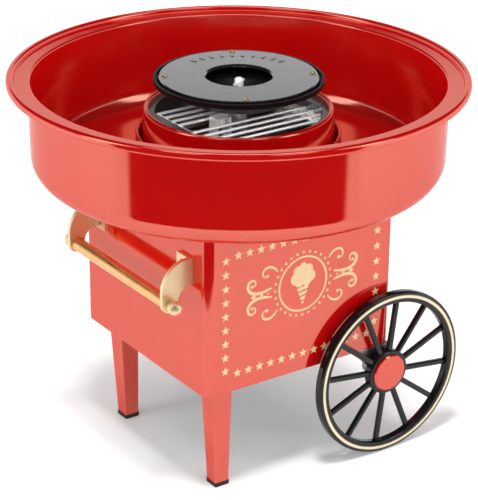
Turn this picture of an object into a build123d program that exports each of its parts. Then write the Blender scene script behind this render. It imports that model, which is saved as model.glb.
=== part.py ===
from build123d import *
import os
from math import cos, radians, sin, sqrt, tan

# A table-top cotton candy machine in the shape of a fairground cart.
# Millimetres. The origin is on the floor, under the centre of the round bowl.
# +Z is up, +X points to the wheel end, -X to the push handle, -Y to the printed side ("front").

os.makedirs("parts", exist_ok=True)

# ---- Clearances ----------------------------------------------------------------------
running_gap = 0.05        # radial, round a shaft that turns or slides in its hole
screw_gap = 0.1           # radial, round a screw's shank
seat_gap = 0.2            # round a fixed piece in its pocket
air_gap = 0.5             # between pieces that move past each other
end_play = 0.1            # along an axis, beside a piece that turns

# ---- Cart body -----------------------------------------------------------------------
ground_clearance = 77.3
body_length = 151.0
body_width = 150.0
body_height = 116.0
body_corner = 6.0
body_wall = 2.5
post_size = 9.0
cover_thickness = 3.0
deck_thickness = 3.0
deck_skirt_depth = 8.0
deck_skirt_wall = 2.0
rear_wall_inset = 16.0    # from a vertical edge to the nearest fitting on the rear wall

cover_underside = ground_clearance
cover_top = ground_clearance + cover_thickness
body_top = ground_clearance + body_height
deck_top = body_top + deck_thickness
half_length = body_length / 2
half_width = body_width / 2
inner_half_length = half_length - body_wall
inner_half_width = half_width - body_wall
post_x = inner_half_length - post_size / 2
post_y = inner_half_width - post_size / 2

# ---- Vents in the bottom cover -------------------------------------------------------
vent_length = 34.0
vent_width = 3.0
vent_pitch = 7.0
vent_count = 8
vent_bank_offset = 26.0

# ---- Screws --------------------------------------------------------------------------
case_screw_radius = 1.5
case_screw_length = 10.0
case_screw_head_radius = 3.0
case_screw_head_height = 1.8
brass_screw_radius = 1.1
brass_screw_length = 5.5
brass_screw_head_radius = 2.1
brass_screw_head_height = 1.1
recess_width_share = 0.28   # of the head's radius
recess_depth_share = 0.55   # of the head's height
recess_span_share = 1.2     # of the head's radius
dome_flat_share = 0.4       # of the head's radius
dome_middle_share = 0.75    # of the head's radius, half way up the dome
dome_middle_height = 0.8    # of the head's height, there

# ---- Legs ----------------------------------------------------------------------------
leg_end_inset = 19.5      # from the box's end wall to the centre of the leg's upper end
leg_side_inset = 16.8     # from the box's side wall to the same point
leg_lean_x = 2.2          # how far the lower end stands nearer to the cart's middle
leg_lean_y = 1.0
leg_top_size = 15.2
leg_foot_size = 10.7
leg_edge = 1.0
leg_screw_spacing = 7.0
foot_tip_height = 3.0
foot_tip_rim = 0.35
foot_tip_edge = 0.6

leg_top_x = leg_end_inset - half_length
leg_top_y = half_width - leg_side_inset
leg_foot_x = leg_top_x + leg_lean_x
leg_foot_y = leg_top_y - leg_lean_y

# ---- Wheels, axle and axle brackets --------------------------------------------------
wheel_radius = 59.5
wheel_inset = 6.2         # from the box's end wall to the axle
wheel_wall_gap = 3.4      # from the box's side wall to the wheel's inner face
wheel_width = 6.7
wheel_rim_depth = 8.0
wheel_rim_edge = 1.8
stripe_groove_radius = 56.0
stripe_groove_width = 1.9
stripe_groove_depth = 0.25
spoke_count = 12
spoke_width = 3.8
spoke_depth = 3.6
spoke_edge = 1.2
spoke_inset = 0.2
spoke_phase = 22.6
hub_radius = 16.0
hub_back = 2.2            # how far the hub stands inside the wheel's inner face
hub_front = 5.2
hub_edge = 1.5
hub_pocket_radius = 9.4
hub_pocket_depth = 4.0
cap_radius = 13.0
cap_edge = 0.7
cap_rim = 1.6             # wall of the cap's plug
axle_radius = 3.0
axle_washer_radius = 7.0
retainer_radius = 6.0
retainer_thickness = 0.8
axle_tip = 1.4
bracket_thickness = 4.0
bracket_boss_radius = 8.0
bracket_boss_length = 11.0
bracket_root_length = 30.0
bracket_flange_width = 15.0
bracket_flange_thickness = 3.0
bracket_flange_length = 24.0
bracket_screw_spacing = 14.0

wheel_x = half_length - wheel_inset
wheel_back = half_width + wheel_wall_gap
wheel_front_face = wheel_back + wheel_width
bracket_face = half_width
bracket_root_x = half_length - bracket_root_length
bracket_flange_x = half_length - body_wall - seat_gap - bracket_flange_length / 2
bracket_inner_face = bracket_face - bracket_thickness
bracket_flange_y = bracket_inner_face - bracket_flange_width / 2

# ---- Push handle ---------------------------------------------------------------------
handle_plate_inset = 15.4  # from the box's side wall to each bracket's outer face
handle_plate_thickness = 3.0
handle_bar_radius = 4.6
handle_reach = 17.0       # from the box's end wall to the bar's centre
handle_bar_drop = 28.4    # from the top of the brackets to the bar's centre
handle_eye_rim = 1.2
handle_spigot_radius = 2.6
handle_outer_arc = 20.0
handle_inner_arc = 9.3
handle_foot_height = 18.5
handle_foot_width = 12.0
handle_foot_thickness = 2.5
handle_foot_drop = 21.8   # from the box's upper edge to the top of the brackets
handle_screw_spacing = 9.0
finial_radius = 4.9
finial_neck_radius = 3.3
finial_neck_length = 1.6

handle_plate_face = half_width - handle_plate_inset
handle_bar_x = -half_length - handle_reach
handle_foot_top = body_top - handle_foot_drop
handle_bar_z = handle_foot_top - handle_bar_drop

# ---- Heater ring on the deck ---------------------------------------------------------
ring_height = 45.0
ring_radius = 63.3        # outside, at the top
ring_foot_radius = 64.6   # outside, at the deck
ring_lip = 4.0            # radial width of the rounded top edge
ring_wall = 2.6
ring_edge = 1.9
ring_ledge_drop = 4.1     # from the ring's top to the ledge that the tray lies on
ring_ledge_width = 2.4
ring_ledge_depth = 3.0

ring_top = deck_top + ring_height
ring_bore = ring_radius - ring_lip
ledge_z = ring_top - ring_ledge_drop
ledge_bore = ring_bore - ring_ledge_width

# ---- Bowl ----------------------------------------------------------------------------
bowl_radius = 152.5
bowl_height = 68.5
bowl_wall = 2.4
bowl_rim_width = 13.7     # from the rim's outside to the wall's outside, at the wall's top
bowl_wall_taper = 1.1     # how much smaller the wall's foot is, in radius
bowl_corner = 16.0
bead_width = 5.3
bead_height = 5.0
bead_edge = 2.0
ledge_drop = 2.8
ledge_edge = 1.5
collar_radius = 68.5
collar_height = 28.2
collar_wall = 2.4
collar_fillet = 5.0
collar_edge = 1.08

bowl_wall_top_radius = bowl_radius - bowl_rim_width
bowl_wall_foot_radius = bowl_wall_top_radius - bowl_wall_taper
bowl_floor = deck_top + bowl_wall
bowl_top = deck_top + bowl_height

# ---- Heater tray and what lies in it -------------------------------------------------
tray_sheet = 0.8
tray_depth = 16.0
tray_wall_gap = 0.4
well_half_length = 49.3
tray_hole_radius = 8.2
block_width = 6.0
block_height = 10.0
block_half_span = 25.4
tube_radius = 3.3
tube_offset = 20.0
tube_height = 4.2         # above the tray's floor, to the tube's centre
tube_cap_rim = 0.5
guard_rod_radius = 1.0
guard_pitch = 8.5
guard_rods_each_side = 4
guard_cross_x = 40.0
guard_cross_radius = 1.2
guard_weld = 0.3          # how far two crossing rods sink into each other
cutout_bracket_length = 11.0
cutout_bracket_width = 10.0
cutout_bracket_sheet = 0.8
cutout_bracket_height = 14.6
cutout_bracket_x = -14.6
cutout_radius = 3.2
cutout_height = 4.0
cutout_bracket_foot = 5.0

tray_top = ledge_z + tray_sheet
tray_floor = tray_top - tray_depth
tray_bore = ledge_bore - tray_wall_gap - tray_sheet
tray_flange_radius = ring_bore - seat_gap
block_top = tray_floor + block_height
guard_z = block_top + guard_rod_radius
tube_z = tray_floor + tube_height

# ---- Motor and spindle ---------------------------------------------------------------
shaft_radius = 3.0
motor_bracket_drop = 9.0  # from the deck's underside to the bracket
deck_boss_radius = 4.5
grommet_height = 2.0
grommet_radius = 5.5
deck_boss_bore = 8.0      # depth of the screw hole in each boss
motor_bracket_sheet = 1.6
motor_bracket_tip = 7.0   # from a boss's centre to the end of the bracket's arm
motor_bracket_edge = 3.0
motor_radius = 22.0
motor_length = 46.0
motor_shell = 1.2
motor_screw_offset = 15.0
motor_screw_length = 4.0
magnet_thickness = 3.0
magnet_height = 32.0
magnet_angle = 130.0
armature_gap = 0.8
armature_length = 28.0
armature_slots = 8
armature_slot_width = 3.0
armature_slot_depth = 7.0
winding_turn = 0.9        # how far the wire stands out of the core's ends
winding_inner_radius = 8.0
winding_outer_radius = 15.0
commutator_radius = 6.0
commutator_length = 7.0
commutator_cut_width = 0.5
commutator_cut_depth = 1.0
bush_radius = 5.0
bush_length = 7.0
end_cap_thickness = 4.0
brush_width = 4.0
brush_height = 4.4
brush_length = 8.0
brush_holder_wall = 1.0
brush_holder_length = 7.0
brush_holder_gap = 2.5     # from the commutator to the holder
fan_radius = 28.0
fan_disc = 1.2
fan_blade_height = 9.0
fan_blade_width = 1.2
fan_blades = 9
fan_hub_radius = 7.0
fan_drop = 4.0            # below the motor's end cap

boss_circle = ring_foot_radius - ring_wall
boss_spread = sqrt(2) * boss_circle    # from one boss to the next, along X or Y
bracket_top = body_top - motor_bracket_drop
motor_top = bracket_top - motor_bracket_sheet
motor_bottom = motor_top - motor_length
end_cap_bottom = motor_bottom - end_cap_thickness
magnet_outer = motor_radius - motor_shell
magnet_inner = magnet_outer - magnet_thickness
magnet_top = motor_top - motor_shell - bush_length
armature_radius = magnet_inner - armature_gap
armature_top = magnet_top - (magnet_height - armature_length) / 2
armature_bottom = armature_top - armature_length
commutator_bottom = armature_bottom - commutator_length
fan_top = end_cap_bottom - fan_drop
shaft_bottom = fan_top - fan_blade_height - fan_disc

# ---- Spinning head -------------------------------------------------------------------
head_clearance = 6.7      # from the heater ring's top to the head's underside
head_rise = 14.5          # from the pan's underside to the top plate's upper face
plate_radius = 52.7
plate_thickness = 2.0
plate_edge = 0.6
sugar_hole_radius = 22.0
sugar_hole_bevel = 1.0
pan_radius = 56.4
pan_floor_radius = 35.5
pan_wall = 1.6
pan_lip_width = 1.7
pan_lip_drop = 1.1        # lip's top below the plate's upper face
pan_lip_height = 3.0
pan_post_radius = 2.7
plate_screw_circle = 48.8
plate_screw_phase = 60.8
mark_count = 10
mark_first_angle = 12.0
mark_pitch_angle = 10.0
mark_circle = 41.5
mark_length = 5.0
mark_width = 2.2
mark_height = 0.4
cup_sheet = 0.8
cup_floor_radius = 11.0
cup_rim_radius = 25.0
cup_rise = 6.5
sleeve_radius = 5.65
sleeve_length = 24.0
sleeve_spigot_radius = 4.0
shaft_bore_depth = 22.0
shaft_pin_radius = 1.2
shaft_pin_length = 11.0
shaft_pin_lift = 2.4      # pin's centre above the sleeve's lower end
stud_flange_radius = 6.5
stud_flange_height = 1.6
stud_radius = 3.1
stud_height = 10.6
stud_pin_radius = 1.2
stud_pin_length = 11.0
stud_pin_height = 7.2
stud_pin_angle = 25.0
stud_shank_radius = 2.0
stud_shank_length = 3.5
stud_dome = 2.48          # rounding of the stud's upper end

head_underside = ring_top + head_clearance
plate_top = head_underside + head_rise
plate_underside = plate_top - plate_thickness
lip_top = plate_top - pan_lip_drop
pan_floor = head_underside + pan_wall
cup_floor = pan_floor + cup_sheet
sleeve_bottom = head_underside - sleeve_length
shaft_top = sleeve_bottom + shaft_bore_depth
shaft_pin_z = sleeve_bottom + shaft_pin_lift

# ---- Switch, cord inlet and wiring block ---------------------------------------------
switch_height = 34.7      # centre above the box's lower edge
switch_half_length = 9.5
switch_half_width = 6.5
switch_flange = 1.6
switch_rim = 2.2
switch_depth = 15.0
switch_end_wall = 1.0
rocker_half_length = 7.0
rocker_half_width = 4.8
rocker_valley = 3.0       # pivot to the middle of the rocker's face
rocker_throw = 12.0       # degrees each way from level
rocker_keel = 3.0
rocker_keel_half_length = 4.9
rocker_end_depth = 0.6     # below the pivot, to where the keel narrows
rocker_pivot_radius = 1.3
rocker_pivot_inset = 2.2  # pivot behind the flange's face
rocker_pivot_length = 1.2
switch_cavity_depth = 7.0
gland_height = 18.7       # centre above the box's lower edge
gland_bore = 3.7
gland_radius = 6.0
gland_flange_radius = 8.5
gland_flange_height = 4.0
gland_length = 13.0
gland_nut_radius = 9.0
gland_nut_height = 4.0
gland_wheel_gap = 3.0     # from the wheel's edge to the gland
terminal_length = 34.0
terminal_width = 14.0
terminal_height = 13.0
terminal_poles = 3
terminal_pitch = 10.0
terminal_hole_radius = 2.2
terminal_hole_depth = 5.0
terminal_end_inset = 29.0  # from the box's inner end wall to the block's middle
terminal_side_inset = 28.5  # from the box's inner side wall to the block's middle

switch_z = cover_underside + switch_height
gland_z = cover_underside + gland_height
terminal_x = inner_half_length - terminal_end_inset
terminal_y = inner_half_width - terminal_side_inset
switch_x = -(inner_half_length - rear_wall_inset - switch_half_width)
gland_x = wheel_x - wheel_radius - gland_wheel_gap - gland_nut_radius

SIDES = {"front": -1, "rear": 1}


def round_corner(sketch, x, y, radius):
    """Round the one corner of a profile that lies at (x, y)."""
    fillet(sketch.vertices().sort_by_distance((x, y, 0))[0], radius)


def screw(head_plane, radius, length, head_radius, head_height):
    """Add a domed screw with a cross recess. The plane lies under its head and faces out."""
    side = Plane(origin=head_plane.origin, x_dir=head_plane.x_dir, z_dir=-head_plane.y_dir)
    with BuildSketch(side) as profile:
        with BuildLine():
            Polyline(
                (0, head_height),
                (0, -length),
                (radius / 2, -length),
                (radius, radius - length),
                (radius, 0),
                (head_radius, 0),
                (head_radius, head_height / 3),
            )
            ThreePointArc(
                (head_radius, head_height / 3),
                (head_radius * dome_middle_share, head_height * dome_middle_height),
                (head_radius * dome_flat_share, head_height),
            )
            Line((head_radius * dome_flat_share, head_height), (0, head_height))
        make_face()
    revolve(profile.sketch, axis=Axis(head_plane.origin, head_plane.z_dir))
    recess = head_radius * recess_width_share
    recess_span = head_radius * recess_span_share
    with BuildSketch(head_plane.offset(head_height)) as cross:
        Rectangle(recess_span, recess)
        Rectangle(recess, recess_span)
    extrude(cross.sketch, amount=-head_height * recess_depth_share, mode=Mode.SUBTRACT)


def case_screw(head_plane, length=case_screw_length):
    screw(head_plane, case_screw_radius, length, case_screw_head_radius, case_screw_head_height)


# ======================================================================================
# Bowl: one spun red bowl with a beaded rim and a raised collar round its central hole
# ======================================================================================
bowl_bore = collar_radius - collar_wall
rim_inner = bowl_radius - bead_width
ledge_top = bowl_top - ledge_drop
rim_underside = bowl_top - bead_height
collar_top = deck_top + collar_height
wall_inner_top = bowl_wall_top_radius - bowl_wall
wall_inner_foot = bowl_wall_foot_radius - bowl_wall

with BuildPart() as bowl:
    with BuildSketch(Plane.XZ) as bowl_profile:
        with BuildLine():
            Polyline(
                (bowl_bore, deck_top),
                (bowl_wall_foot_radius, deck_top),
                (bowl_wall_top_radius, rim_underside),
                (bowl_radius, rim_underside),
                (bowl_radius, bowl_top),
                (rim_inner, bowl_top),
                (rim_inner, ledge_top),
                (wall_inner_top, ledge_top),
                (wall_inner_foot, bowl_floor),
                (collar_radius, bowl_floor),
                (collar_radius, collar_top),
                (bowl_bore, collar_top),
                close=True,
            )
        make_face()
        round_corner(bowl_profile, bowl_wall_foot_radius, deck_top, bowl_corner)
        round_corner(bowl_profile, wall_inner_foot, bowl_floor, bowl_corner - bowl_wall)
        round_corner(bowl_profile, bowl_wall_top_radius, rim_underside, ledge_edge)
        round_corner(bowl_profile, wall_inner_top, ledge_top, ledge_edge)
        round_corner(bowl_profile, bowl_radius, rim_underside, bead_edge)
        round_corner(bowl_profile, bowl_radius, bowl_top, bead_edge)
        round_corner(bowl_profile, rim_inner, bowl_top, bead_edge)
        round_corner(bowl_profile, rim_inner, ledge_top, ledge_edge / 2)
        round_corner(bowl_profile, collar_radius, bowl_floor, collar_fillet)
        round_corner(bowl_profile, collar_radius, collar_top, collar_edge)
        round_corner(bowl_profile, bowl_bore, collar_top, collar_edge)
    revolve(axis=Axis.Z)

bowl.part.label = "bowl"
export_step(bowl.part, "parts/bowl.step")


# ======================================================================================
# Cart body: a square box without top or floor, with four screw posts in its corners
# ======================================================================================
switch_hole = (2 * (switch_half_width + seat_gap), 2 * (switch_half_length + seat_gap))
handle_foot_y = handle_plate_face - handle_plate_thickness - handle_foot_width / 2
handle_foot_z = handle_foot_top - handle_foot_height / 2
rear_wall = Plane(origin=(0, half_width, 0), x_dir=(1, 0, 0), z_dir=(0, -1, 0))
handle_wall = Plane(origin=(-half_length, 0, 0), x_dir=(0, 1, 0), z_dir=(1, 0, 0))

with BuildPart() as body_box:
    with BuildSketch(Plane.XY.offset(cover_underside)):
        RectangleRounded(body_length, body_width, body_corner)
        RectangleRounded(
            2 * inner_half_length,
            2 * inner_half_width,
            body_corner - body_wall,
            mode=Mode.SUBTRACT,
        )
    extrude(amount=body_height)
    with BuildSketch(Plane.XY.offset(cover_top)):
        with GridLocations(2 * post_x, 2 * post_y, 2, 2):
            Rectangle(post_size, post_size)
    extrude(amount=body_height - cover_thickness - deck_skirt_depth)
    with BuildSketch(Plane.XY.offset(cover_top)):
        with GridLocations(2 * post_x, 2 * post_y, 2, 2):
            Circle(case_screw_radius + screw_gap)
    extrude(amount=body_height, mode=Mode.SUBTRACT)
    with BuildSketch(rear_wall):
        with Locations((switch_x, switch_z)):
            Rectangle(*switch_hole)
        with Locations((gland_x, gland_z)):
            Circle(gland_radius + seat_gap)
    extrude(amount=body_wall, mode=Mode.SUBTRACT)
    with BuildSketch(handle_wall):
        with Locations((-handle_foot_y, handle_foot_z), (handle_foot_y, handle_foot_z)):
            with GridLocations(0, handle_screw_spacing, 1, 2):
                Circle(case_screw_radius + screw_gap)
    extrude(amount=body_wall, mode=Mode.SUBTRACT)

body_box.part.label = "body_box"
export_step(body_box.part, "parts/body_box.step")


# ======================================================================================
# Bottom cover: closes the box from below, with two banks of vents and the corner screws
# ======================================================================================
with BuildPart() as bottom_cover:
    with BuildSketch(Plane.XY.offset(cover_underside)):
        RectangleRounded(
            2 * (inner_half_length - seat_gap),
            2 * (inner_half_width - seat_gap),
            body_corner - body_wall,
        )
        with GridLocations(2 * post_x, 2 * post_y, 2, 2):
            Circle(case_screw_radius + screw_gap, mode=Mode.SUBTRACT)
        with GridLocations(0, 2 * vent_bank_offset, 1, 2):
            with GridLocations(vent_pitch, 0, vent_count, 1):
                SlotOverall(vent_length, vent_width, rotation=90, mode=Mode.SUBTRACT)
        for side in SIDES.values():
            with Locations((leg_top_x, side * leg_top_y)):
                with GridLocations(leg_screw_spacing, 0, 2, 1):
                    Circle(case_screw_radius + screw_gap, mode=Mode.SUBTRACT)
            with Locations((bracket_flange_x, side * bracket_flange_y)):
                with GridLocations(bracket_screw_spacing, 0, 2, 1):
                    Circle(case_screw_radius + screw_gap, mode=Mode.SUBTRACT)
    extrude(amount=cover_thickness)
    with BuildSketch(Plane.XY.offset(cover_underside)):
        with GridLocations(2 * post_x, 2 * post_y, 2, 2):
            Circle(case_screw_head_radius + screw_gap)
    extrude(amount=case_screw_head_height, mode=Mode.SUBTRACT)

bottom_cover.part.label = "bottom_cover"
export_step(bottom_cover.part, "parts/bottom_cover.step")

with BuildPart() as bottom_cover_screws:
    for x_sign in (-1, 1):
        for y_sign in (-1, 1):
            corner = (x_sign * post_x, y_sign * post_y, cover_underside + case_screw_head_height)
            case_screw(Plane(origin=corner, x_dir=(1, 0, 0), z_dir=(0, 0, -1)))

bottom_cover_screws.part.label = "bottom_cover_screws"
export_step(bottom_cover_screws.part, "parts/bottom_cover_screws.step")


# ======================================================================================
# Top deck: the box's lid, with the raised heater ring and the bosses that carry the motor
# ======================================================================================
ring_wall_foot = ring_foot_radius - ring_wall
ring_wall_under_ledge = ring_radius - ring_wall
ledge_under = ledge_z - ring_ledge_depth
boss_bottom = bracket_top + grommet_height

with BuildPart() as top_deck:
    with BuildSketch(Plane.XY.offset(body_top)):
        RectangleRounded(body_length, body_width, body_corner)
        Circle(ring_wall_foot, mode=Mode.SUBTRACT)
    extrude(amount=deck_thickness)
    with BuildSketch(Plane.XY.offset(body_top)):
        RectangleRounded(
            2 * (inner_half_length - seat_gap),
            2 * (inner_half_width - seat_gap),
            body_corner - body_wall,
        )
        RectangleRounded(
            2 * (inner_half_length - seat_gap - deck_skirt_wall),
            2 * (inner_half_width - seat_gap - deck_skirt_wall),
            body_corner - body_wall - deck_skirt_wall,
            mode=Mode.SUBTRACT,
        )
    extrude(amount=-deck_skirt_depth)
    with BuildSketch(Plane.XZ) as ring_profile:
        with BuildLine():
            Polyline(
                (ring_wall_foot, body_top),
                (ring_foot_radius, body_top),
                (ring_foot_radius, deck_top),
                (ring_radius, ring_top),
                (ring_bore, ring_top),
                (ring_bore, ledge_z),
                (ledge_bore, ledge_z),
                (ledge_bore, ledge_under),
                (ring_wall_under_ledge, ledge_under - ring_ledge_width),
                close=True,
            )
        make_face()
        round_corner(ring_profile, ring_radius, ring_top, ring_edge)
        round_corner(ring_profile, ring_bore, ring_top, ring_edge)
    revolve(axis=Axis.Z)
    with BuildSketch(Plane.XY.offset(body_top)):
        with GridLocations(2 * post_x, 2 * post_y, 2, 2):
            RectangleRounded(
                post_size - 2 * seat_gap,
                post_size - 2 * seat_gap,
                body_corner - body_wall,
            )
    extrude(amount=-deck_skirt_depth)
    with BuildSketch(Plane.XY.offset(boss_bottom)):
        with GridLocations(boss_spread, boss_spread, 2, 2):
            Circle(deck_boss_radius)
    extrude(amount=deck_top - boss_bottom)
    with BuildSketch(Plane.XY.offset(boss_bottom)):
        with GridLocations(boss_spread, boss_spread, 2, 2):
            Circle(case_screw_radius + screw_gap)
    extrude(amount=deck_boss_bore, mode=Mode.SUBTRACT)
    with BuildSketch(Plane.XY.offset(body_top - deck_skirt_depth)):
        with GridLocations(2 * post_x, 2 * post_y, 2, 2):
            Circle(case_screw_radius + screw_gap)
    extrude(amount=deck_skirt_depth + deck_thickness, mode=Mode.SUBTRACT)
    with BuildSketch(Plane.XY.offset(deck_top)):
        with GridLocations(2 * post_x, 2 * post_y, 2, 2):
            Circle(case_screw_head_radius + screw_gap)
    extrude(amount=-case_screw_head_height, mode=Mode.SUBTRACT)

top_deck.part.label = "top_deck"
export_step(top_deck.part, "parts/top_deck.step")

deck_screw_seat = deck_top - case_screw_head_height
deck_screw_length = deck_skirt_depth + case_screw_length

with BuildPart() as deck_screws:
    for x_sign in (-1, 1):
        for y_sign in (-1, 1):
            seat = Plane.XY.move(Location((x_sign * post_x, y_sign * post_y, deck_screw_seat)))
            case_screw(seat, length=deck_screw_length)

deck_screws.part.label = "deck_screws"
export_step(deck_screws.part, "parts/deck_screws.step")


# ======================================================================================
# Two tapered legs under the handle end, their black foot tips and their screws
# ======================================================================================
def leg_section(height, extra=0.0):
    """Centre and side of a leg's square section at a height, before the side of the cart."""
    share = height / ground_clearance
    x = leg_foot_x + (leg_top_x - leg_foot_x) * share
    y = leg_foot_y + (leg_top_y - leg_foot_y) * share
    size = leg_foot_size + (leg_top_size - leg_foot_size) * share
    return x, y, size + 2 * extra


def leg_sketch(height, side, extra=0.0):
    x, y, size = leg_section(height, extra)
    with BuildSketch(Plane.XY.offset(height)) as section:
        with Locations((x, side * y)):
            RectangleRounded(size, size, leg_edge)
    return section.sketch


for name, side in SIDES.items():
    with BuildPart() as leg:
        loft([leg_sketch(foot_tip_height, side), leg_sketch(cover_underside, side)])
        with BuildSketch(Plane.XY.offset(cover_underside)):
            with Locations((leg_top_x, side * leg_top_y)):
                with GridLocations(leg_screw_spacing, 0, 2, 1):
                    Circle(case_screw_radius + screw_gap)
        extrude(amount=-case_screw_length, mode=Mode.SUBTRACT)

    leg.part.label = f"leg_{name}"
    export_step(leg.part, f"parts/leg_{name}.step")

    with BuildPart() as foot_tip:
        loft([leg_sketch(0, side, foot_tip_rim), leg_sketch(foot_tip_height, side, foot_tip_rim)])
        chamfer(foot_tip.faces().sort_by(Axis.Z)[0].edges(), foot_tip_edge)

    foot_tip.part.label = f"foot_tip_{name}"
    export_step(foot_tip.part, f"parts/foot_tip_{name}.step")

with BuildPart() as leg_screws:
    for side in SIDES.values():
        for x_sign in (-1, 1):
            x = leg_top_x + x_sign * leg_screw_spacing / 2
            case_screw(Plane.XY.move(Location((x, side * leg_top_y, cover_top))))

leg_screws.part.label = "leg_screws"
export_step(leg_screws.part, "parts/leg_screws.step")


# ======================================================================================
# Wheel end: two ears below the box carry a fixed axle, and the wheels turn on its ends
# ======================================================================================
axle_end = wheel_back + hub_front - hub_pocket_depth + retainer_thickness + axle_tip


def outward(side, distance, x=wheel_x, z=wheel_radius):
    """A plane across the axle on one side of the cart, facing away from the cart."""
    return Plane(origin=(x, side * distance, z), x_dir=(-side, 0, 0), z_dir=(0, side, 0))


for name, side in SIDES.items():
    ear_drop = cover_underside - wheel_radius
    with BuildPart() as axle_bracket:
        with BuildSketch(outward(side, bracket_inner_face)):
            Circle(bracket_boss_radius)
            with BuildLine():
                Polyline(
                    (-side * (bracket_root_x - wheel_x), ear_drop),
                    (-side * (half_length - wheel_x), ear_drop),
                    (-side * bracket_boss_radius, 0),
                    (side * bracket_boss_radius, 0),
                    close=True,
                )
            make_face()
        extrude(amount=bracket_thickness)
        with BuildSketch(outward(side, bracket_face)):
            Circle(bracket_boss_radius)
        extrude(amount=-bracket_boss_length)
        with BuildSketch(Plane.XY.offset(cover_underside)):
            with Locations((bracket_flange_x, side * bracket_flange_y)):
                Rectangle(bracket_flange_length, bracket_flange_width)
        extrude(amount=-bracket_flange_thickness)
        with BuildSketch(Plane.XY.offset(cover_underside)):
            with Locations((bracket_flange_x, side * bracket_flange_y)):
                with GridLocations(bracket_screw_spacing, 0, 2, 1):
                    Circle(case_screw_radius + screw_gap)
        extrude(amount=-bracket_flange_thickness, mode=Mode.SUBTRACT)
        with BuildSketch(outward(side, bracket_face)):
            Circle(axle_radius + running_gap)
        extrude(amount=-bracket_boss_length, mode=Mode.SUBTRACT)

    axle_bracket.part.label = f"axle_bracket_{name}"
    export_step(axle_bracket.part, f"parts/axle_bracket_{name}.step")

with BuildPart() as axle_bracket_screws:
    for side in SIDES.values():
        for x_sign in (-1, 1):
            x = bracket_flange_x + x_sign * bracket_screw_spacing / 2
            head = (x, side * bracket_flange_y, cover_underside - bracket_flange_thickness)
            case_screw(
                Plane(origin=head, x_dir=(1, 0, 0), z_dir=(0, 0, -1)),
                length=bracket_flange_thickness + cover_thickness,
            )

axle_bracket_screws.part.label = "axle_bracket_screws"
export_step(axle_bracket_screws.part, "parts/axle_bracket_screws.step")

with BuildPart() as axle:
    with BuildSketch(outward(1, -axle_end)):
        Circle(axle_radius)
    extrude(amount=2 * axle_end)
    chamfer(axle.edges().filter_by(GeomType.CIRCLE), axle_radius / 6)

axle.part.label = "axle"
export_step(axle.part, "parts/axle.step")

washer_thickness = wheel_back - hub_back - bracket_face - end_play

with BuildPart() as axle_washers:
    for side in SIDES.values():
        with BuildSketch(outward(side, bracket_face)):
            Circle(axle_washer_radius)
            Circle(axle_radius + running_gap, mode=Mode.SUBTRACT)
        extrude(amount=washer_thickness)

axle_washers.part.label = "axle_washers"
export_step(axle_washers.part, "parts/axle_washers.step")

pocket_floor = wheel_back + hub_front - hub_pocket_depth
retainer_back = pocket_floor + end_play

with BuildPart() as wheel_retainers:
    for side in SIDES.values():
        with BuildSketch(outward(side, retainer_back)):
            Circle(retainer_radius)
            Circle(axle_radius + running_gap, mode=Mode.SUBTRACT)
        extrude(amount=retainer_thickness)

wheel_retainers.part.label = "wheel_retainers"
export_step(wheel_retainers.part, "parts/wheel_retainers.step")

rim_bore = wheel_radius - wheel_rim_depth
cap_front = wheel_front_face
cap_back = wheel_back + hub_front
cap_plug_radius = hub_pocket_radius - running_gap
cap_plug_length = hub_pocket_depth - end_play - retainer_thickness - air_gap


def wheel_profile_plane(side):
    """A plane through the axle: x along the wheel's radius, y out of the cart."""
    return Plane(origin=(wheel_x, 0, wheel_radius), x_dir=(0, 0, 1), z_dir=(-side, 0, 0))


for name, side in SIDES.items():
    axle_line = Axis((wheel_x, 0, wheel_radius), (0, 1, 0))

    with BuildPart() as wheel:
        with BuildSketch(wheel_profile_plane(side)):
            with Locations(((rim_bore + wheel_radius) / 2, (wheel_back + wheel_width / 2))):
                RectangleRounded(wheel_rim_depth, wheel_width, wheel_rim_edge)
            with Locations((stripe_groove_radius, wheel_front_face)):
                Rectangle(stripe_groove_width, 2 * stripe_groove_depth, mode=Mode.SUBTRACT)
        revolve(axis=axle_line)
        with BuildSketch(wheel_profile_plane(side)) as hub:
            with Locations((hub_radius / 2, (wheel_back + (hub_front - hub_back) / 2))):
                Rectangle(hub_radius, hub_front + hub_back)
            round_corner(hub, hub_radius, (wheel_back + hub_front), hub_edge)
            round_corner(hub, hub_radius, (wheel_back - hub_back), hub_edge)
        revolve(axis=axle_line)
        for spoke in range(spoke_count):
            angle = radians(spoke_phase + spoke * 360 / spoke_count)
            along = Vector(cos(angle), 0, sin(angle))
            middle = side * (wheel_back + spoke_inset + spoke_depth / 2)
            root = Vector(wheel_x, middle, wheel_radius) + along * (hub_radius - hub_edge)
            with BuildSketch(Plane(origin=root, x_dir=(0, 1, 0), z_dir=along)):
                RectangleRounded(spoke_depth, spoke_width, spoke_edge)
            extrude(amount=rim_bore + wheel_rim_edge / 2 - hub_radius + hub_edge)
        with BuildSketch(outward(side, wheel_back - hub_back)):
            Circle(axle_radius + running_gap)
        extrude(amount=hub_front + hub_back, mode=Mode.SUBTRACT)
        with BuildSketch(outward(side, cap_back)):
            Circle(hub_pocket_radius)
        extrude(amount=-hub_pocket_depth, mode=Mode.SUBTRACT)

    wheel.part.label = f"wheel_{name}"
    export_step(wheel.part, f"parts/wheel_{name}.step")

    with BuildPart() as hub_cap:
        with BuildSketch(outward(side, cap_back)):
            Circle(cap_radius)
        extrude(amount=cap_front - cap_back)
        chamfer(hub_cap.faces().sort_by(Axis((0, 0, 0), (0, side, 0)))[-1].edges(), cap_edge)
        with BuildSketch(outward(side, cap_back)):
            Circle(cap_plug_radius)
            Circle(cap_plug_radius - cap_rim, mode=Mode.SUBTRACT)
        extrude(amount=-cap_plug_length)

    hub_cap.part.label = f"hub_cap_{name}"
    export_step(hub_cap.part, f"parts/hub_cap_{name}.step")


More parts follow.
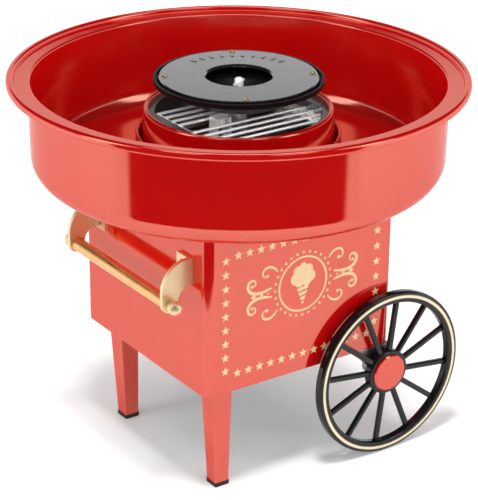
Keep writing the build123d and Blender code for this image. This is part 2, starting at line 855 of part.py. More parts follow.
# ======================================================================================
# Push handle: two curved brackets on the end wall, a round bar and its ball ends
# ======================================================================================
plate_inner = handle_plate_face - handle_plate_thickness
eye_radius = handle_bar_radius + handle_eye_rim
foot_bottom = handle_foot_top - handle_foot_height
outer_arc_x = handle_bar_x - eye_radius + handle_outer_arc
outer_arc_z = handle_foot_top - handle_outer_arc
inner_arc_x = handle_bar_x + eye_radius + handle_inner_arc
inner_arc_z = foot_bottom - handle_inner_arc
diagonal = sqrt(0.5)

for name, side in SIDES.items():
    with BuildPart() as handle_bracket:
        with BuildSketch(Plane.XZ.offset(-side * handle_plate_face)):
            with BuildLine():
                Polyline(
                    (inner_arc_x, foot_bottom),
                    (-half_length, foot_bottom),
                    (-half_length, handle_foot_top),
                    (outer_arc_x, handle_foot_top),
                )
                ThreePointArc(
                    (outer_arc_x, handle_foot_top),
                    (
                        outer_arc_x - handle_outer_arc * diagonal,
                        outer_arc_z + handle_outer_arc * diagonal,
                    ),
                    (outer_arc_x - handle_outer_arc, outer_arc_z),
                )
                Polyline(
                    (handle_bar_x - eye_radius, outer_arc_z),
                    (handle_bar_x - eye_radius, handle_bar_z),
                    (handle_bar_x + eye_radius, handle_bar_z),
                    (handle_bar_x + eye_radius, inner_arc_z),
                )
                ThreePointArc(
                    (handle_bar_x + eye_radius, inner_arc_z),
                    (
                        inner_arc_x - handle_inner_arc * diagonal,
                        inner_arc_z + handle_inner_arc * diagonal,
                    ),
                    (inner_arc_x, foot_bottom),
                )
            make_face()
            with Locations((handle_bar_x, handle_bar_z)):
                Circle(eye_radius)
                Circle(handle_spigot_radius + seat_gap / 2, mode=Mode.SUBTRACT)
        extrude(amount=side * handle_plate_thickness)
        with BuildSketch(handle_wall):
            with Locations((side * handle_foot_y, handle_foot_z)):
                Rectangle(handle_foot_width, handle_foot_height)
        extrude(amount=-handle_foot_thickness)
        with BuildSketch(handle_wall):
            with Locations((side * handle_foot_y, handle_foot_z)):
                with GridLocations(0, handle_screw_spacing, 1, 2):
                    Circle(case_screw_radius + screw_gap)
        extrude(amount=-handle_foot_thickness, mode=Mode.SUBTRACT)

    handle_bracket.part.label = f"handle_bracket_{name}"
    export_step(handle_bracket.part, f"parts/handle_bracket_{name}.step")

with BuildPart() as handle_screws:
    for side in SIDES.values():
        for z_sign in (-1, 1):
            z = handle_foot_z + z_sign * handle_screw_spacing / 2
            seat = (-inner_half_length, side * handle_foot_y, z)
            case_screw(
                Plane(origin=seat, x_dir=(0, 1, 0), z_dir=(1, 0, 0)),
                length=body_wall + handle_foot_thickness,
            )

handle_screws.part.label = "handle_screws"
export_step(handle_screws.part, "parts/handle_screws.step")

bar_plane = Plane(origin=(handle_bar_x, 0, handle_bar_z), x_dir=(1, 0, 0), z_dir=(0, 1, 0))

with BuildPart() as handle_bar:
    with BuildSketch(bar_plane.offset(-plate_inner)):
        Circle(handle_bar_radius)
    extrude(amount=2 * plate_inner)
    with BuildSketch(bar_plane.offset(-handle_plate_face)):
        Circle(handle_spigot_radius)
    extrude(amount=2 * handle_plate_face)

handle_bar.part.label = "handle_bar"
export_step(handle_bar.part, "parts/handle_bar.step")

ball_middle = handle_plate_face + finial_neck_length + sqrt(finial_radius**2 - finial_neck_radius**2)

with BuildPart() as handle_finials:
    for side in SIDES.values():
        with BuildSketch(bar_plane.offset(side * handle_plate_face)):
            Circle(finial_neck_radius)
        extrude(amount=side * finial_radius)
        with Locations((handle_bar_x, side * ball_middle, handle_bar_z)):
            Sphere(finial_radius)

handle_finials.part.label = "handle_finials"
export_step(handle_finials.part, "parts/handle_finials.step")


# ======================================================================================
# Heater: a steel tray hung in the ring, two heating tubes in ceramic blocks, a rod guard
# ======================================================================================
tray_underside = tray_floor - tray_sheet


def well_sketch(height, radius, half_length):
    """The heater well seen from above: a disc with two straight ends."""
    with BuildSketch(Plane.XY.offset(height)) as section:
        Circle(radius)
        Rectangle(2 * half_length, 2 * radius, mode=Mode.INTERSECT)
    return section.sketch


well_outside = (tray_bore + tray_sheet, well_half_length + tray_sheet)
well_inside = (tray_bore, well_half_length)

with BuildPart() as heater_tray:
    with BuildSketch(Plane.XY.offset(ledge_z)):
        Circle(tray_flange_radius)
    extrude(amount=tray_sheet)
    extrude(well_sketch(tray_underside, *well_outside), amount=tray_depth)
    extrude(well_sketch(tray_floor, *well_inside), amount=tray_depth, mode=Mode.SUBTRACT)
    with BuildSketch(Plane.XY.offset(tray_underside)):
        Circle(tray_hole_radius)
    extrude(amount=tray_sheet, mode=Mode.SUBTRACT)

heater_tray.part.label = "heater_tray"
export_step(heater_tray.part, "parts/heater_tray.step")

block_sides = {"handle_end": -1, "wheel_end": 1}
block_middle = well_half_length - seat_gap - block_width / 2
tube_half_length = well_half_length - seat_gap - block_width / 2

for name, side in block_sides.items():
    with BuildPart() as block:
        with BuildSketch(Plane.XY.offset(tray_floor)):
            with Locations((side * block_middle, 0)):
                Rectangle(block_width, 2 * block_half_span)
        extrude(amount=block_height)
        with BuildSketch(Plane.YZ.offset(side * tube_half_length)):
            with Locations((-tube_offset, tube_z), (tube_offset, tube_z)):
                Circle(tube_radius + seat_gap / 2)
        extrude(amount=-side * block_width, mode=Mode.SUBTRACT)

    block.part.label = f"ceramic_block_{name}"
    export_step(block.part, f"parts/ceramic_block_{name}.step")

for name, side in SIDES.items():
    with BuildPart() as tube:
        with BuildSketch(Plane.YZ.offset(-tube_half_length)):
            with Locations((side * tube_offset, tube_z)):
                Circle(tube_radius)
        extrude(amount=2 * tube_half_length)
        chamfer(tube.edges().filter_by(GeomType.CIRCLE), tube_cap_rim)

    tube.part.label = f"heating_tube_{name}"
    export_step(tube.part, f"parts/heating_tube_{name}.step")

guard_reach = well_half_length - seat_gap
rod_ys = [guard_pitch * (index + 1) for index in range(guard_rods_each_side)]
guard_cross_z = guard_z - guard_rod_radius - guard_cross_radius + guard_weld

with BuildPart() as heater_guard:
    for rod_y in rod_ys:
        within_tray = sqrt((tray_bore - air_gap) ** 2 - (rod_y + guard_rod_radius) ** 2)
        for side in SIDES.values():
            reach = min(guard_reach, within_tray)
            with BuildSketch(Plane.YZ.offset(-reach)):
                with Locations((side * rod_y, guard_z)):
                    Circle(guard_rod_radius)
            extrude(amount=2 * reach)
    cross_reach = sqrt((tray_bore - air_gap) ** 2 - (guard_cross_x + guard_cross_radius) ** 2)
    for x_sign in (-1, 1):
        with BuildSketch(Plane.XZ.offset(-cross_reach)):
            with Locations((x_sign * guard_cross_x, guard_cross_z)):
                Circle(guard_cross_radius)
        extrude(amount=2 * cross_reach)

heater_guard.part.label = "heater_guard"
export_step(heater_guard.part, "parts/heater_guard.step")

bracket_outline = (
    (-cutout_bracket_length / 2 - cutout_bracket_foot, 0),
    (-cutout_bracket_length / 2 - cutout_bracket_foot, cutout_bracket_sheet),
    (-cutout_bracket_length / 2, cutout_bracket_sheet),
    (-cutout_bracket_length / 2, cutout_bracket_height),
    (cutout_bracket_length / 2, cutout_bracket_height),
    (cutout_bracket_length / 2, 0),
    (cutout_bracket_length / 2 - cutout_bracket_sheet, 0),
    (cutout_bracket_length / 2 - cutout_bracket_sheet, cutout_bracket_height - cutout_bracket_sheet),
    (cutout_bracket_sheet - cutout_bracket_length / 2, cutout_bracket_height - cutout_bracket_sheet),
    (cutout_bracket_sheet - cutout_bracket_length / 2, 0),
)

with BuildPart() as cutout_bracket:
    with BuildSketch(Plane.XZ.offset(-cutout_bracket_width / 2)):
        with BuildLine():
            Polyline(
                *[(cutout_bracket_x + x, tray_floor + z) for x, z in bracket_outline],
                close=True,
            )
        make_face()
    extrude(amount=cutout_bracket_width)

cutout_bracket.part.label = "cutout_bracket"
export_step(cutout_bracket.part, "parts/cutout_bracket.step")

cutout_top = tray_floor + cutout_bracket_height - cutout_bracket_sheet

with BuildPart() as thermal_cutout:
    with BuildSketch(Plane.XY.offset(cutout_top)):
        with Locations((cutout_bracket_x, 0)):
            Circle(cutout_radius)
    extrude(amount=-cutout_height)

thermal_cutout.part.label = "thermal_cutout"
export_step(thermal_cutout.part, "parts/thermal_cutout.step")


# ======================================================================================
# Motor: hung below the deck on four rubber rings, with a fan on the lower end of its shaft
# ======================================================================================
shaft_bore = shaft_radius + running_gap
bush_bore = bush_radius + running_gap
bush_collar_radius = bush_radius + 2 * motor_shell

with BuildPart() as motor_grommets:
    with BuildSketch(Plane.XY.offset(bracket_top)):
        with GridLocations(boss_spread, boss_spread, 2, 2):
            Circle(grommet_radius)
            Circle(case_screw_radius + screw_gap, mode=Mode.SUBTRACT)
    extrude(amount=grommet_height)

motor_grommets.part.label = "motor_grommets"
export_step(motor_grommets.part, "parts/motor_grommets.step")

with BuildPart() as motor_bracket:
    with BuildSketch(Plane.XY.offset(motor_top)):
        Circle(motor_radius)
        for angle in (45, -45):
            RectangleRounded(
                2 * (boss_circle + motor_bracket_tip),
                2 * motor_bracket_tip,
                motor_bracket_edge,
                rotation=angle,
            )
        Circle(bush_collar_radius, mode=Mode.SUBTRACT)
        with GridLocations(boss_spread, boss_spread, 2, 2):
            Circle(case_screw_radius + screw_gap, mode=Mode.SUBTRACT)
        with GridLocations(0, 2 * motor_screw_offset, 1, 2):
            Circle(case_screw_radius + screw_gap, mode=Mode.SUBTRACT)
    extrude(amount=motor_bracket_sheet)

motor_bracket.part.label = "motor_bracket"
export_step(motor_bracket.part, "parts/motor_bracket.step")

with BuildPart() as motor_bracket_screws:
    for x_sign in (-1, 1):
        for y_sign in (-1, 1):
            head = (x_sign * boss_spread / 2, y_sign * boss_spread / 2, motor_top)
            case_screw(
                Plane(origin=head, x_dir=(1, 0, 0), z_dir=(0, 0, -1)),
                length=motor_bracket_sheet + grommet_height + deck_boss_bore - air_gap,
            )

motor_bracket_screws.part.label = "motor_bracket_screws"
export_step(motor_bracket_screws.part, "parts/motor_bracket_screws.step")

with BuildPart() as motor_can:
    with BuildSketch(Plane.XY.offset(motor_bottom)):
        Circle(motor_radius)
        Circle(motor_radius - motor_shell, mode=Mode.SUBTRACT)
    extrude(amount=motor_length)
    with BuildSketch(Plane.XY.offset(motor_top)):
        Circle(motor_radius)
        with GridLocations(0, 2 * motor_screw_offset, 1, 2):
            Circle(case_screw_radius + screw_gap, mode=Mode.SUBTRACT)
    extrude(amount=-motor_shell)
    with BuildSketch(Plane.XY.offset(motor_top)):
        Circle(bush_collar_radius)
    extrude(amount=-motor_shell - bush_length)
    with BuildSketch(Plane.XY.offset(motor_top)):
        Circle(bush_bore)
    extrude(amount=-motor_shell - bush_length, mode=Mode.SUBTRACT)

motor_can.part.label = "motor_can"
export_step(motor_can.part, "parts/motor_can.step")

with BuildPart() as motor_screws:
    for y_sign in (-1, 1):
        seat = Plane.XY.move(Location((0, y_sign * motor_screw_offset, bracket_top)))
        case_screw(seat, length=motor_screw_length)

motor_screws.part.label = "motor_screws"
export_step(motor_screws.part, "parts/motor_screws.step")

with BuildPart() as motor_magnets:
    for middle_angle in (0, 180):
        first_edge = middle_angle - magnet_angle / 2
        with BuildSketch(Plane.XZ.rotated((0, 0, first_edge))):
            with Locations(((magnet_inner + magnet_outer) / 2, magnet_top - magnet_height / 2)):
                Rectangle(magnet_thickness - 2 * running_gap, magnet_height)
        revolve(axis=Axis.Z, revolution_arc=magnet_angle)

motor_magnets.part.label = "motor_magnets"
export_step(motor_magnets.part, "parts/motor_magnets.step")

brush_bottom = motor_bottom + brush_holder_wall + seat_gap / 2
brush_middle = brush_bottom + brush_height / 2
brush_holder_height = brush_height + seat_gap + 2 * brush_holder_wall
brush_holder_width = brush_width + seat_gap + 2 * brush_holder_wall
brush_holder_middle = commutator_radius + brush_holder_gap + brush_holder_length / 2

with BuildPart() as motor_end_cap:
    with BuildSketch(Plane.XY.offset(end_cap_bottom)):
        Circle(motor_radius)
        Circle(bush_bore, mode=Mode.SUBTRACT)
    extrude(amount=end_cap_thickness)
    with BuildSketch(Plane.XY.offset(motor_bottom)):
        with GridLocations(0, 2 * brush_holder_middle, 1, 2):
            Rectangle(brush_holder_width, brush_holder_length)
    extrude(amount=brush_holder_height)
    with BuildSketch(Plane.XZ.offset(-motor_radius)):
        with Locations((0, brush_middle)):
            Rectangle(brush_width + seat_gap, brush_height + seat_gap)
    extrude(amount=2 * motor_radius, mode=Mode.SUBTRACT)

motor_end_cap.part.label = "motor_end_cap"
export_step(motor_end_cap.part, "parts/motor_end_cap.step")

with BuildPart() as motor_bushes:
    for bush_bottom, length in ((magnet_top, bush_length), (end_cap_bottom, end_cap_thickness)):
        with BuildSketch(Plane.XY.offset(bush_bottom)):
            Circle(bush_radius)
            Circle(shaft_bore, mode=Mode.SUBTRACT)
        extrude(amount=length)

motor_bushes.part.label = "motor_bushes"
export_step(motor_bushes.part, "parts/motor_bushes.step")

with BuildPart() as motor_brushes:
    brush_centre = commutator_radius + end_play + brush_length / 2
    with BuildSketch(Plane.XY.offset(brush_bottom)):
        with GridLocations(0, 2 * brush_centre, 1, 2):
            Rectangle(brush_width, brush_length)
    extrude(amount=brush_height)

motor_brushes.part.label = "motor_brushes"
export_step(motor_brushes.part, "parts/motor_brushes.step")

pin_line = Plane(origin=(0, 0, shaft_pin_z), z_dir=(1, 0, 0))

with BuildPart() as motor_shaft:
    with BuildSketch(Plane.XY.offset(shaft_bottom)):
        Circle(shaft_radius)
    extrude(amount=shaft_top - shaft_bottom)
    with BuildSketch(pin_line):
        Circle(shaft_pin_radius + running_gap)
    extrude(amount=shaft_radius, both=True, mode=Mode.SUBTRACT)

motor_shaft.part.label = "motor_shaft"
export_step(motor_shaft.part, "parts/motor_shaft.step")

with BuildPart() as shaft_pin:
    with BuildSketch(pin_line):
        Circle(shaft_pin_radius)
    extrude(amount=shaft_pin_length / 2, both=True)

shaft_pin.part.label = "shaft_pin"
export_step(shaft_pin.part, "parts/shaft_pin.step")

slot_middle = armature_radius - armature_slot_depth / 2

with BuildPart() as motor_armature:
    with BuildSketch(Plane.XY.offset(armature_bottom)):
        Circle(armature_radius)
        Circle(shaft_bore, mode=Mode.SUBTRACT)
        with PolarLocations(slot_middle + armature_gap, armature_slots):
            Rectangle(
                armature_slot_depth + 2 * armature_gap,
                armature_slot_width,
                mode=Mode.SUBTRACT,
            )
    extrude(amount=armature_length)

motor_armature.part.label = "motor_armature"
export_step(motor_armature.part, "parts/motor_armature.step")

with BuildPart() as motor_windings:
    with BuildSketch(Plane.XY.offset(armature_bottom - winding_turn)):
        with PolarLocations(slot_middle + seat_gap, armature_slots):
            Rectangle(armature_slot_depth - 2 * air_gap, armature_slot_width - 2 * seat_gap)
    extrude(amount=armature_length + 2 * winding_turn)
    for turn_bottom in (armature_bottom - winding_turn, armature_top):
        with BuildSketch(Plane.XY.offset(turn_bottom)):
            Circle(winding_outer_radius)
            Circle(winding_inner_radius, mode=Mode.SUBTRACT)
        extrude(amount=winding_turn)

motor_windings.part.label = "motor_windings"
export_step(motor_windings.part, "parts/motor_windings.step")

with BuildPart() as commutator:
    with BuildSketch(Plane.XY.offset(commutator_bottom)):
        Circle(commutator_radius)
        Circle(shaft_bore, mode=Mode.SUBTRACT)
        with PolarLocations(commutator_radius, armature_slots):
            Rectangle(2 * commutator_cut_depth, commutator_cut_width, mode=Mode.SUBTRACT)
    extrude(amount=commutator_length)

commutator.part.label = "commutator"
export_step(commutator.part, "parts/commutator.step")

with BuildPart() as cooling_fan:
    with BuildSketch(Plane.XY.offset(shaft_bottom)):
        Circle(fan_radius)
    extrude(amount=fan_disc)
    with BuildSketch(Plane.XY.offset(shaft_bottom)):
        Circle(fan_hub_radius)
        with PolarLocations((fan_hub_radius + fan_radius) / 2 - fan_blade_width, fan_blades):
            Rectangle(fan_radius - fan_hub_radius, fan_blade_width)
    extrude(amount=fan_disc + fan_blade_height)
    with BuildSketch(Plane.XY.offset(shaft_bottom)):
        Circle(shaft_bore)
    extrude(amount=fan_disc + fan_blade_height, mode=Mode.SUBTRACT)

cooling_fan.part.label = "cooling_fan"
export_step(cooling_fan.part, "parts/cooling_fan.step")


# ======================================================================================
# Spinning head: a sleeve that slips over the shaft carries a pan, a cup and a top plate
# ======================================================================================
spigot_bore = sleeve_spigot_radius + seat_gap / 2
pin_slot_top = shaft_pin_z + shaft_pin_radius + running_gap
stud_bore_depth = stud_shank_length + air_gap

with BuildPart() as head_sleeve:
    with BuildSketch(Plane.XY.offset(sleeve_bottom)):
        Circle(sleeve_radius)
    extrude(amount=sleeve_length)
    with BuildSketch(Plane.XY.offset(head_underside)):
        Circle(sleeve_spigot_radius)
    extrude(amount=cup_floor - head_underside)
    with BuildSketch(Plane.XY.offset(sleeve_bottom)):
        Circle(shaft_bore)
    extrude(amount=shaft_bore_depth, mode=Mode.SUBTRACT)
    with BuildSketch(Plane.YZ.offset(-sleeve_radius)):
        with Locations((0, (sleeve_bottom + pin_slot_top) / 2)):
            Rectangle(2 * (shaft_pin_radius + running_gap), pin_slot_top - sleeve_bottom)
    extrude(amount=2 * sleeve_radius, mode=Mode.SUBTRACT)
    with BuildSketch(Plane.XY.offset(cup_floor)):
        Circle(stud_shank_radius + screw_gap)
    extrude(amount=-stud_bore_depth, mode=Mode.SUBTRACT)

head_sleeve.part.label = "head_sleeve"
export_step(head_sleeve.part, "parts/head_sleeve.step")

lip_bottom = lip_top - pan_lip_height
lip_inner = pan_radius - pan_lip_width
pan_slope = (lip_bottom - head_underside) / (pan_radius - pan_floor_radius)
pan_rise = pan_wall * sqrt(1 + pan_slope**2)
pan_floor_inner = pan_floor_radius + (pan_wall - pan_rise) / pan_slope
pan_lip_inner_z = lip_bottom + pan_rise - pan_lip_width * pan_slope
post_bore_depth = brass_screw_length - plate_thickness + air_gap

with BuildPart() as head_pan:
    with BuildSketch(Plane.XY.offset(plate_underside)):
        with PolarLocations(plate_screw_circle, 4, start_angle=plate_screw_phase):
            Circle(pan_post_radius)
    extrude(amount=head_underside - plate_underside)
    with BuildSketch(Plane.XZ):
        with BuildLine():
            Polyline(
                (pan_floor_radius, head_underside),
                (pan_radius, lip_bottom),
                (pan_radius, head_underside),
                close=True,
            )
        make_face()
    revolve(axis=Axis.Z, mode=Mode.SUBTRACT)
    with BuildSketch(Plane.XZ):
        with BuildLine():
            Polyline(
                (spigot_bore, head_underside),
                (pan_floor_radius, head_underside),
                (pan_radius, lip_bottom),
                (pan_radius, lip_top),
                (lip_inner, lip_top),
                (lip_inner, pan_lip_inner_z),
                (pan_floor_inner, pan_floor),
                (spigot_bore, pan_floor),
                close=True,
            )
        make_face()
    revolve(axis=Axis.Z)
    with BuildSketch(Plane.XY.offset(plate_underside)):
        with PolarLocations(plate_screw_circle, 4, start_angle=plate_screw_phase):
            Circle(brass_screw_radius + screw_gap)
    extrude(amount=-post_bore_depth, mode=Mode.SUBTRACT)

head_pan.part.label = "head_pan"
export_step(head_pan.part, "parts/head_pan.step")

cup_slope = (cup_rise - cup_sheet) / (cup_rim_radius - cup_floor_radius)
cup_sheet_rise = cup_sheet * sqrt(1 + cup_slope**2)

with BuildPart() as candy_cup:
    with BuildSketch(Plane.XZ):
        with BuildLine():
            Polyline(
                (spigot_bore, pan_floor),
                (cup_floor_radius, pan_floor),
                (cup_rim_radius, pan_floor + cup_rise - cup_sheet),
                (cup_rim_radius, pan_floor + cup_rise - cup_sheet + cup_sheet_rise),
                (cup_floor_radius + (cup_sheet - cup_sheet_rise) / cup_slope, cup_floor),
                (spigot_bore, cup_floor),
                close=True,
            )
        make_face()
    revolve(axis=Axis.Z)

candy_cup.part.label = "candy_cup"
export_step(candy_cup.part, "parts/candy_cup.step")

with BuildPart() as head_plate:
    with BuildSketch(Plane.XY.offset(plate_underside)):
        Circle(plate_radius)
        Circle(sugar_hole_radius, mode=Mode.SUBTRACT)
    extrude(amount=plate_thickness)
    upper_edges = head_plate.faces().sort_by(Axis.Z)[-1].edges().sort_by(SortBy.RADIUS)
    chamfer(upper_edges[0], sugar_hole_bevel)
    chamfer(head_plate.faces().sort_by(Axis.Z)[-1].edges().sort_by(SortBy.RADIUS)[-1], plate_edge)
    with BuildSketch(Plane.XY.offset(plate_underside)):
        with PolarLocations(plate_screw_circle, 4, start_angle=plate_screw_phase):
            Circle(brass_screw_radius + screw_gap)
    extrude(amount=plate_thickness, mode=Mode.SUBTRACT)
    with BuildSketch(Plane.XY.offset(plate_top)):
        mark_span = mark_pitch_angle * (mark_count - 1)
        with PolarLocations(mark_circle, mark_count, mark_first_angle, mark_span, endpoint=True):
            RectangleRounded(mark_length, mark_width, mark_width / 3)
    extrude(amount=mark_height)

head_plate.part.label = "head_plate"
export_step(head_plate.part, "parts/head_plate.step")

with BuildPart() as head_screws:
    for index in range(4):
        angle = radians(plate_screw_phase + 90 * index)
        x = plate_screw_circle * cos(angle)
        y = plate_screw_circle * sin(angle)
        seat = Plane.XY.move(Location((x, y, plate_top)))
        screw(
            seat,
            brass_screw_radius,
            brass_screw_length,
            brass_screw_head_radius,
            brass_screw_head_height,
        )

head_screws.part.label = "head_screws"
export_step(head_screws.part, "parts/head_screws.step")

stud_top = cup_floor + stud_height
stud_pin_plane = Plane(
    origin=(0, 0, cup_floor + stud_pin_height),
    z_dir=(cos(radians(stud_pin_angle)), sin(radians(stud_pin_angle)), 0),
)

with BuildPart() as head_stud:
    with BuildSketch(Plane.XZ) as stud_profile:
        with BuildLine():
            Polyline(
                (0, cup_floor - stud_shank_length),
                (stud_shank_radius, cup_floor - stud_shank_length),
                (stud_shank_radius, cup_floor),
                (stud_flange_radius, cup_floor),
                (stud_flange_radius, cup_floor + stud_flange_height),
                (stud_radius, cup_floor + stud_flange_height),
                (stud_radius, stud_top),
                (0, stud_top),
                close=True,
            )
        make_face()
        round_corner(stud_profile, stud_radius, stud_top, stud_dome)
        round_corner(
            stud_profile, stud_flange_radius, cup_floor + stud_flange_height, stud_flange_height / 2
        )
    revolve(axis=Axis.Z)
    with BuildSketch(stud_pin_plane):
        Circle(stud_pin_radius + running_gap)
    extrude(amount=stud_radius, both=True, mode=Mode.SUBTRACT)
    with BuildSketch(stud_pin_plane):
        Circle(stud_pin_radius)
    extrude(amount=stud_pin_length / 2, both=True)

head_stud.part.label = "head_stud"
export_step(head_stud.part, "parts/head_stud.step")


# ======================================================================================
# Rear wall: the rocker switch and the cord's gland. Inside: the wiring's terminal block
# ======================================================================================
flange_face = half_width + switch_flange
pivot_y = flange_face - rocker_pivot_inset
rocker_slot_half_width = rocker_half_width + seat_gap
tilt = radians(rocker_throw)


def wall_outward(x, z, y=half_width):
    """A plane on the rear wall that faces away from the cart, its y direction up."""
    return Plane(origin=(x, y, z), x_dir=(-1, 0, 0), z_dir=(0, 1, 0))


with BuildPart() as switch_housing:
    with BuildSketch(wall_outward(switch_x, switch_z)):
        Rectangle(2 * switch_half_width, 2 * switch_half_length)
    extrude(amount=-switch_depth)
    with BuildSketch(wall_outward(switch_x, switch_z)):
        RectangleRounded(
            2 * (switch_half_width + switch_rim),
            2 * (switch_half_length + switch_rim),
            switch_rim,
        )
    extrude(amount=switch_flange)
    with BuildSketch(wall_outward(switch_x, switch_z, flange_face)):
        Rectangle(2 * rocker_slot_half_width, 2 * (switch_half_length - switch_end_wall))
    extrude(amount=-switch_cavity_depth, mode=Mode.SUBTRACT)
    with BuildSketch(Plane.YZ.offset(switch_x)):
        with Locations((pivot_y, switch_z)):
            Circle(rocker_pivot_radius + running_gap)
    extrude(
        amount=rocker_half_width + rocker_pivot_length + end_play,
        both=True,
        mode=Mode.SUBTRACT,
    )

switch_housing.part.label = "switch_housing"
export_step(switch_housing.part, "parts/switch_housing.step")

rocker_side = Plane(
    origin=(switch_x, pivot_y, switch_z),
    x_dir=(0, sin(tilt), cos(tilt)),
    z_dir=(-1, 0, 0),
)

with BuildPart() as switch_rocker:
    with BuildSketch(rocker_side):
        with BuildLine():
            Polyline(
                (0, rocker_valley),
                (rocker_half_length, rocker_valley + rocker_half_length * tan(tilt)),
                (rocker_half_length, -rocker_end_depth),
                (rocker_keel_half_length, -rocker_keel),
                (-rocker_keel_half_length, -rocker_keel),
                (-rocker_half_length, -rocker_end_depth),
                (-rocker_half_length, rocker_valley + rocker_half_length * tan(tilt)),
                close=True,
            )
        make_face()
    extrude(amount=rocker_half_width, both=True)
    with BuildSketch(rocker_side):
        Circle(rocker_pivot_radius)
    extrude(amount=rocker_half_width + rocker_pivot_length, both=True)

switch_rocker.part.label = "switch_rocker"
export_step(switch_rocker.part, "parts/switch_rocker.step")

with BuildPart() as cord_gland:
    with BuildSketch(wall_outward(gland_x, gland_z)):
        Circle(gland_flange_radius)
    extrude(amount=gland_flange_height)
    chamfer(cord_gland.faces().sort_by(Axis.Y)[-1].edges(), gland_flange_height / 4)
    with BuildSketch(wall_outward(gland_x, gland_z)):
        Circle(gland_radius)
    extrude(amount=-gland_length)
    with BuildSketch(wall_outward(gland_x, gland_z, half_width + gland_flange_height)):
        Circle(gland_bore)
    extrude(amount=-gland_length - gland_flange_height, mode=Mode.SUBTRACT)

cord_gland.part.label = "cord_gland"
export_step(cord_gland.part, "parts/cord_gland.step")

with BuildPart() as cord_gland_nut:
    with BuildSketch(wall_outward(gland_x, gland_z, inner_half_width)):
        RegularPolygon(gland_nut_radius, 6)
        Circle(gland_radius + screw_gap, mode=Mode.SUBTRACT)
    extrude(amount=-gland_nut_height)

cord_gland_nut.part.label = "cord_gland_nut"
export_step(cord_gland_nut.part, "parts/cord_gland_nut.step")

with BuildPart() as terminal_block:
    with BuildSketch(Plane.XY.offset(cover_top)):
        with Locations((terminal_x, terminal_y)):
            Rectangle(terminal_length, terminal_width)
    extrude(amount=terminal_height)
    with BuildSketch(Plane.XY.offset(cover_top + terminal_height)):
        with Locations((terminal_x, terminal_y)):
            with GridLocations(terminal_pitch, 0, terminal_poles, 1):
                Circle(terminal_hole_radius)
    extrude(amount=-terminal_hole_depth, mode=Mode.SUBTRACT)

terminal_block.part.label = "terminal_block"
export_step(terminal_block.part, "parts/terminal_block.step")
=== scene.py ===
import math

import bmesh
import bpy
from mathutils import Matrix, Vector


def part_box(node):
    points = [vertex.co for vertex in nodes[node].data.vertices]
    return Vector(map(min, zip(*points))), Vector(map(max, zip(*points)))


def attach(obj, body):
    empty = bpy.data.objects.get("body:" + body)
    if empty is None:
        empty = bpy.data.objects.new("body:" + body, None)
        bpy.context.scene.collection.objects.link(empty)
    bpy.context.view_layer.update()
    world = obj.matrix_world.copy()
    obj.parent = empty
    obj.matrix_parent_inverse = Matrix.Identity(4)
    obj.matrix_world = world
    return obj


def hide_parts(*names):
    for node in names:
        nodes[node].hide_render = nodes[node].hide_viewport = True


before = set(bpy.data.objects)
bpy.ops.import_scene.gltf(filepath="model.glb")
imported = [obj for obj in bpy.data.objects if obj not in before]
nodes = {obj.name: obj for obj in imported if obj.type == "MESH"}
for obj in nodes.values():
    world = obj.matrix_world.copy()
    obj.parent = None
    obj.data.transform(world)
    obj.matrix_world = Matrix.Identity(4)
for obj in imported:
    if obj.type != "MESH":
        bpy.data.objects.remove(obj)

# The looks of a table-top cotton candy cart, in metres and in the frame of the solids: +Z up,
# +X towards the wheels, -X towards the push handle, -Y the printed side. The prints, the wheel
# stripes and the bowl's profile are written in millimetres and scaled by MM.

MM = 0.001
WHITE = (1.0, 1.0, 1.0, 1.0)
ACROSS_Z = (1.0, 1.0, 0.0)
scene = bpy.context.scene
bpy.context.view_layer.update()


# ---- Small node helpers --------------------------------------------------------------
class Graph:
    """A material's or the world's node tree, with short calls for what repeats."""

    def __init__(self, owner):
        owner.use_nodes = True
        self.tree = owner.node_tree
        self.tree.nodes.clear()

    def add(self, kind, inputs=None, **settings):
        node = self.tree.nodes.new(kind)
        for name, value in settings.items():
            setattr(node, name, value)
        for name, value in (inputs or {}).items():
            if isinstance(value, bpy.types.NodeSocket):
                self.tree.links.new(value, node.inputs[name])
            else:
                node.inputs[name].default_value = value
        return node

    def noise(self, vector, scale, detail=3.0, roughness=0.55):
        inputs = {"Vector": vector, "Scale": scale, "Detail": detail, "Roughness": roughness}
        return self.add("ShaderNodeTexNoise", inputs).outputs["Fac"]

    def spread(self, value, low, high, from_low=0.3, from_high=0.7):
        inputs = {
            "Value": value,
            "From Min": from_low,
            "From Max": from_high,
            "To Min": low,
            "To Max": high,
        }
        return self.add("ShaderNodeMapRange", inputs).outputs["Result"]

    def mix(self, factor, first, second):
        node = self.add("ShaderNodeMix", data_type="RGBA")
        for index, value in ((0, factor), (6, first), (7, second)):
            socket = node.inputs[index]
            if isinstance(value, bpy.types.NodeSocket):
                self.tree.links.new(value, socket)
            else:
                socket.default_value = value
        return node.outputs[2]

    def math(self, operation, first, second=None):
        node = self.add("ShaderNodeMath", operation=operation)
        for socket, value in ((node.inputs[0], first), (node.inputs[1], second)):
            if isinstance(value, bpy.types.NodeSocket):
                self.tree.links.new(value, socket)
            elif value is not None:
                socket.default_value = value
        return node.outputs[0]

    def distance_from_z(self, vector):
        flat = self.add("ShaderNodeVectorMath", {0: vector, 1: ACROSS_Z}, operation="MULTIPLY")
        length = self.add("ShaderNodeVectorMath", {0: flat.outputs["Vector"]}, operation="LENGTH")
        return length.outputs["Value"]

    def bump(self, height, strength, distance, normal=None):
        inputs = {"Height": height, "Strength": strength, "Distance": distance}
        if normal is not None:
            inputs["Normal"] = normal
        return self.add("ShaderNodeBump", inputs).outputs["Normal"]


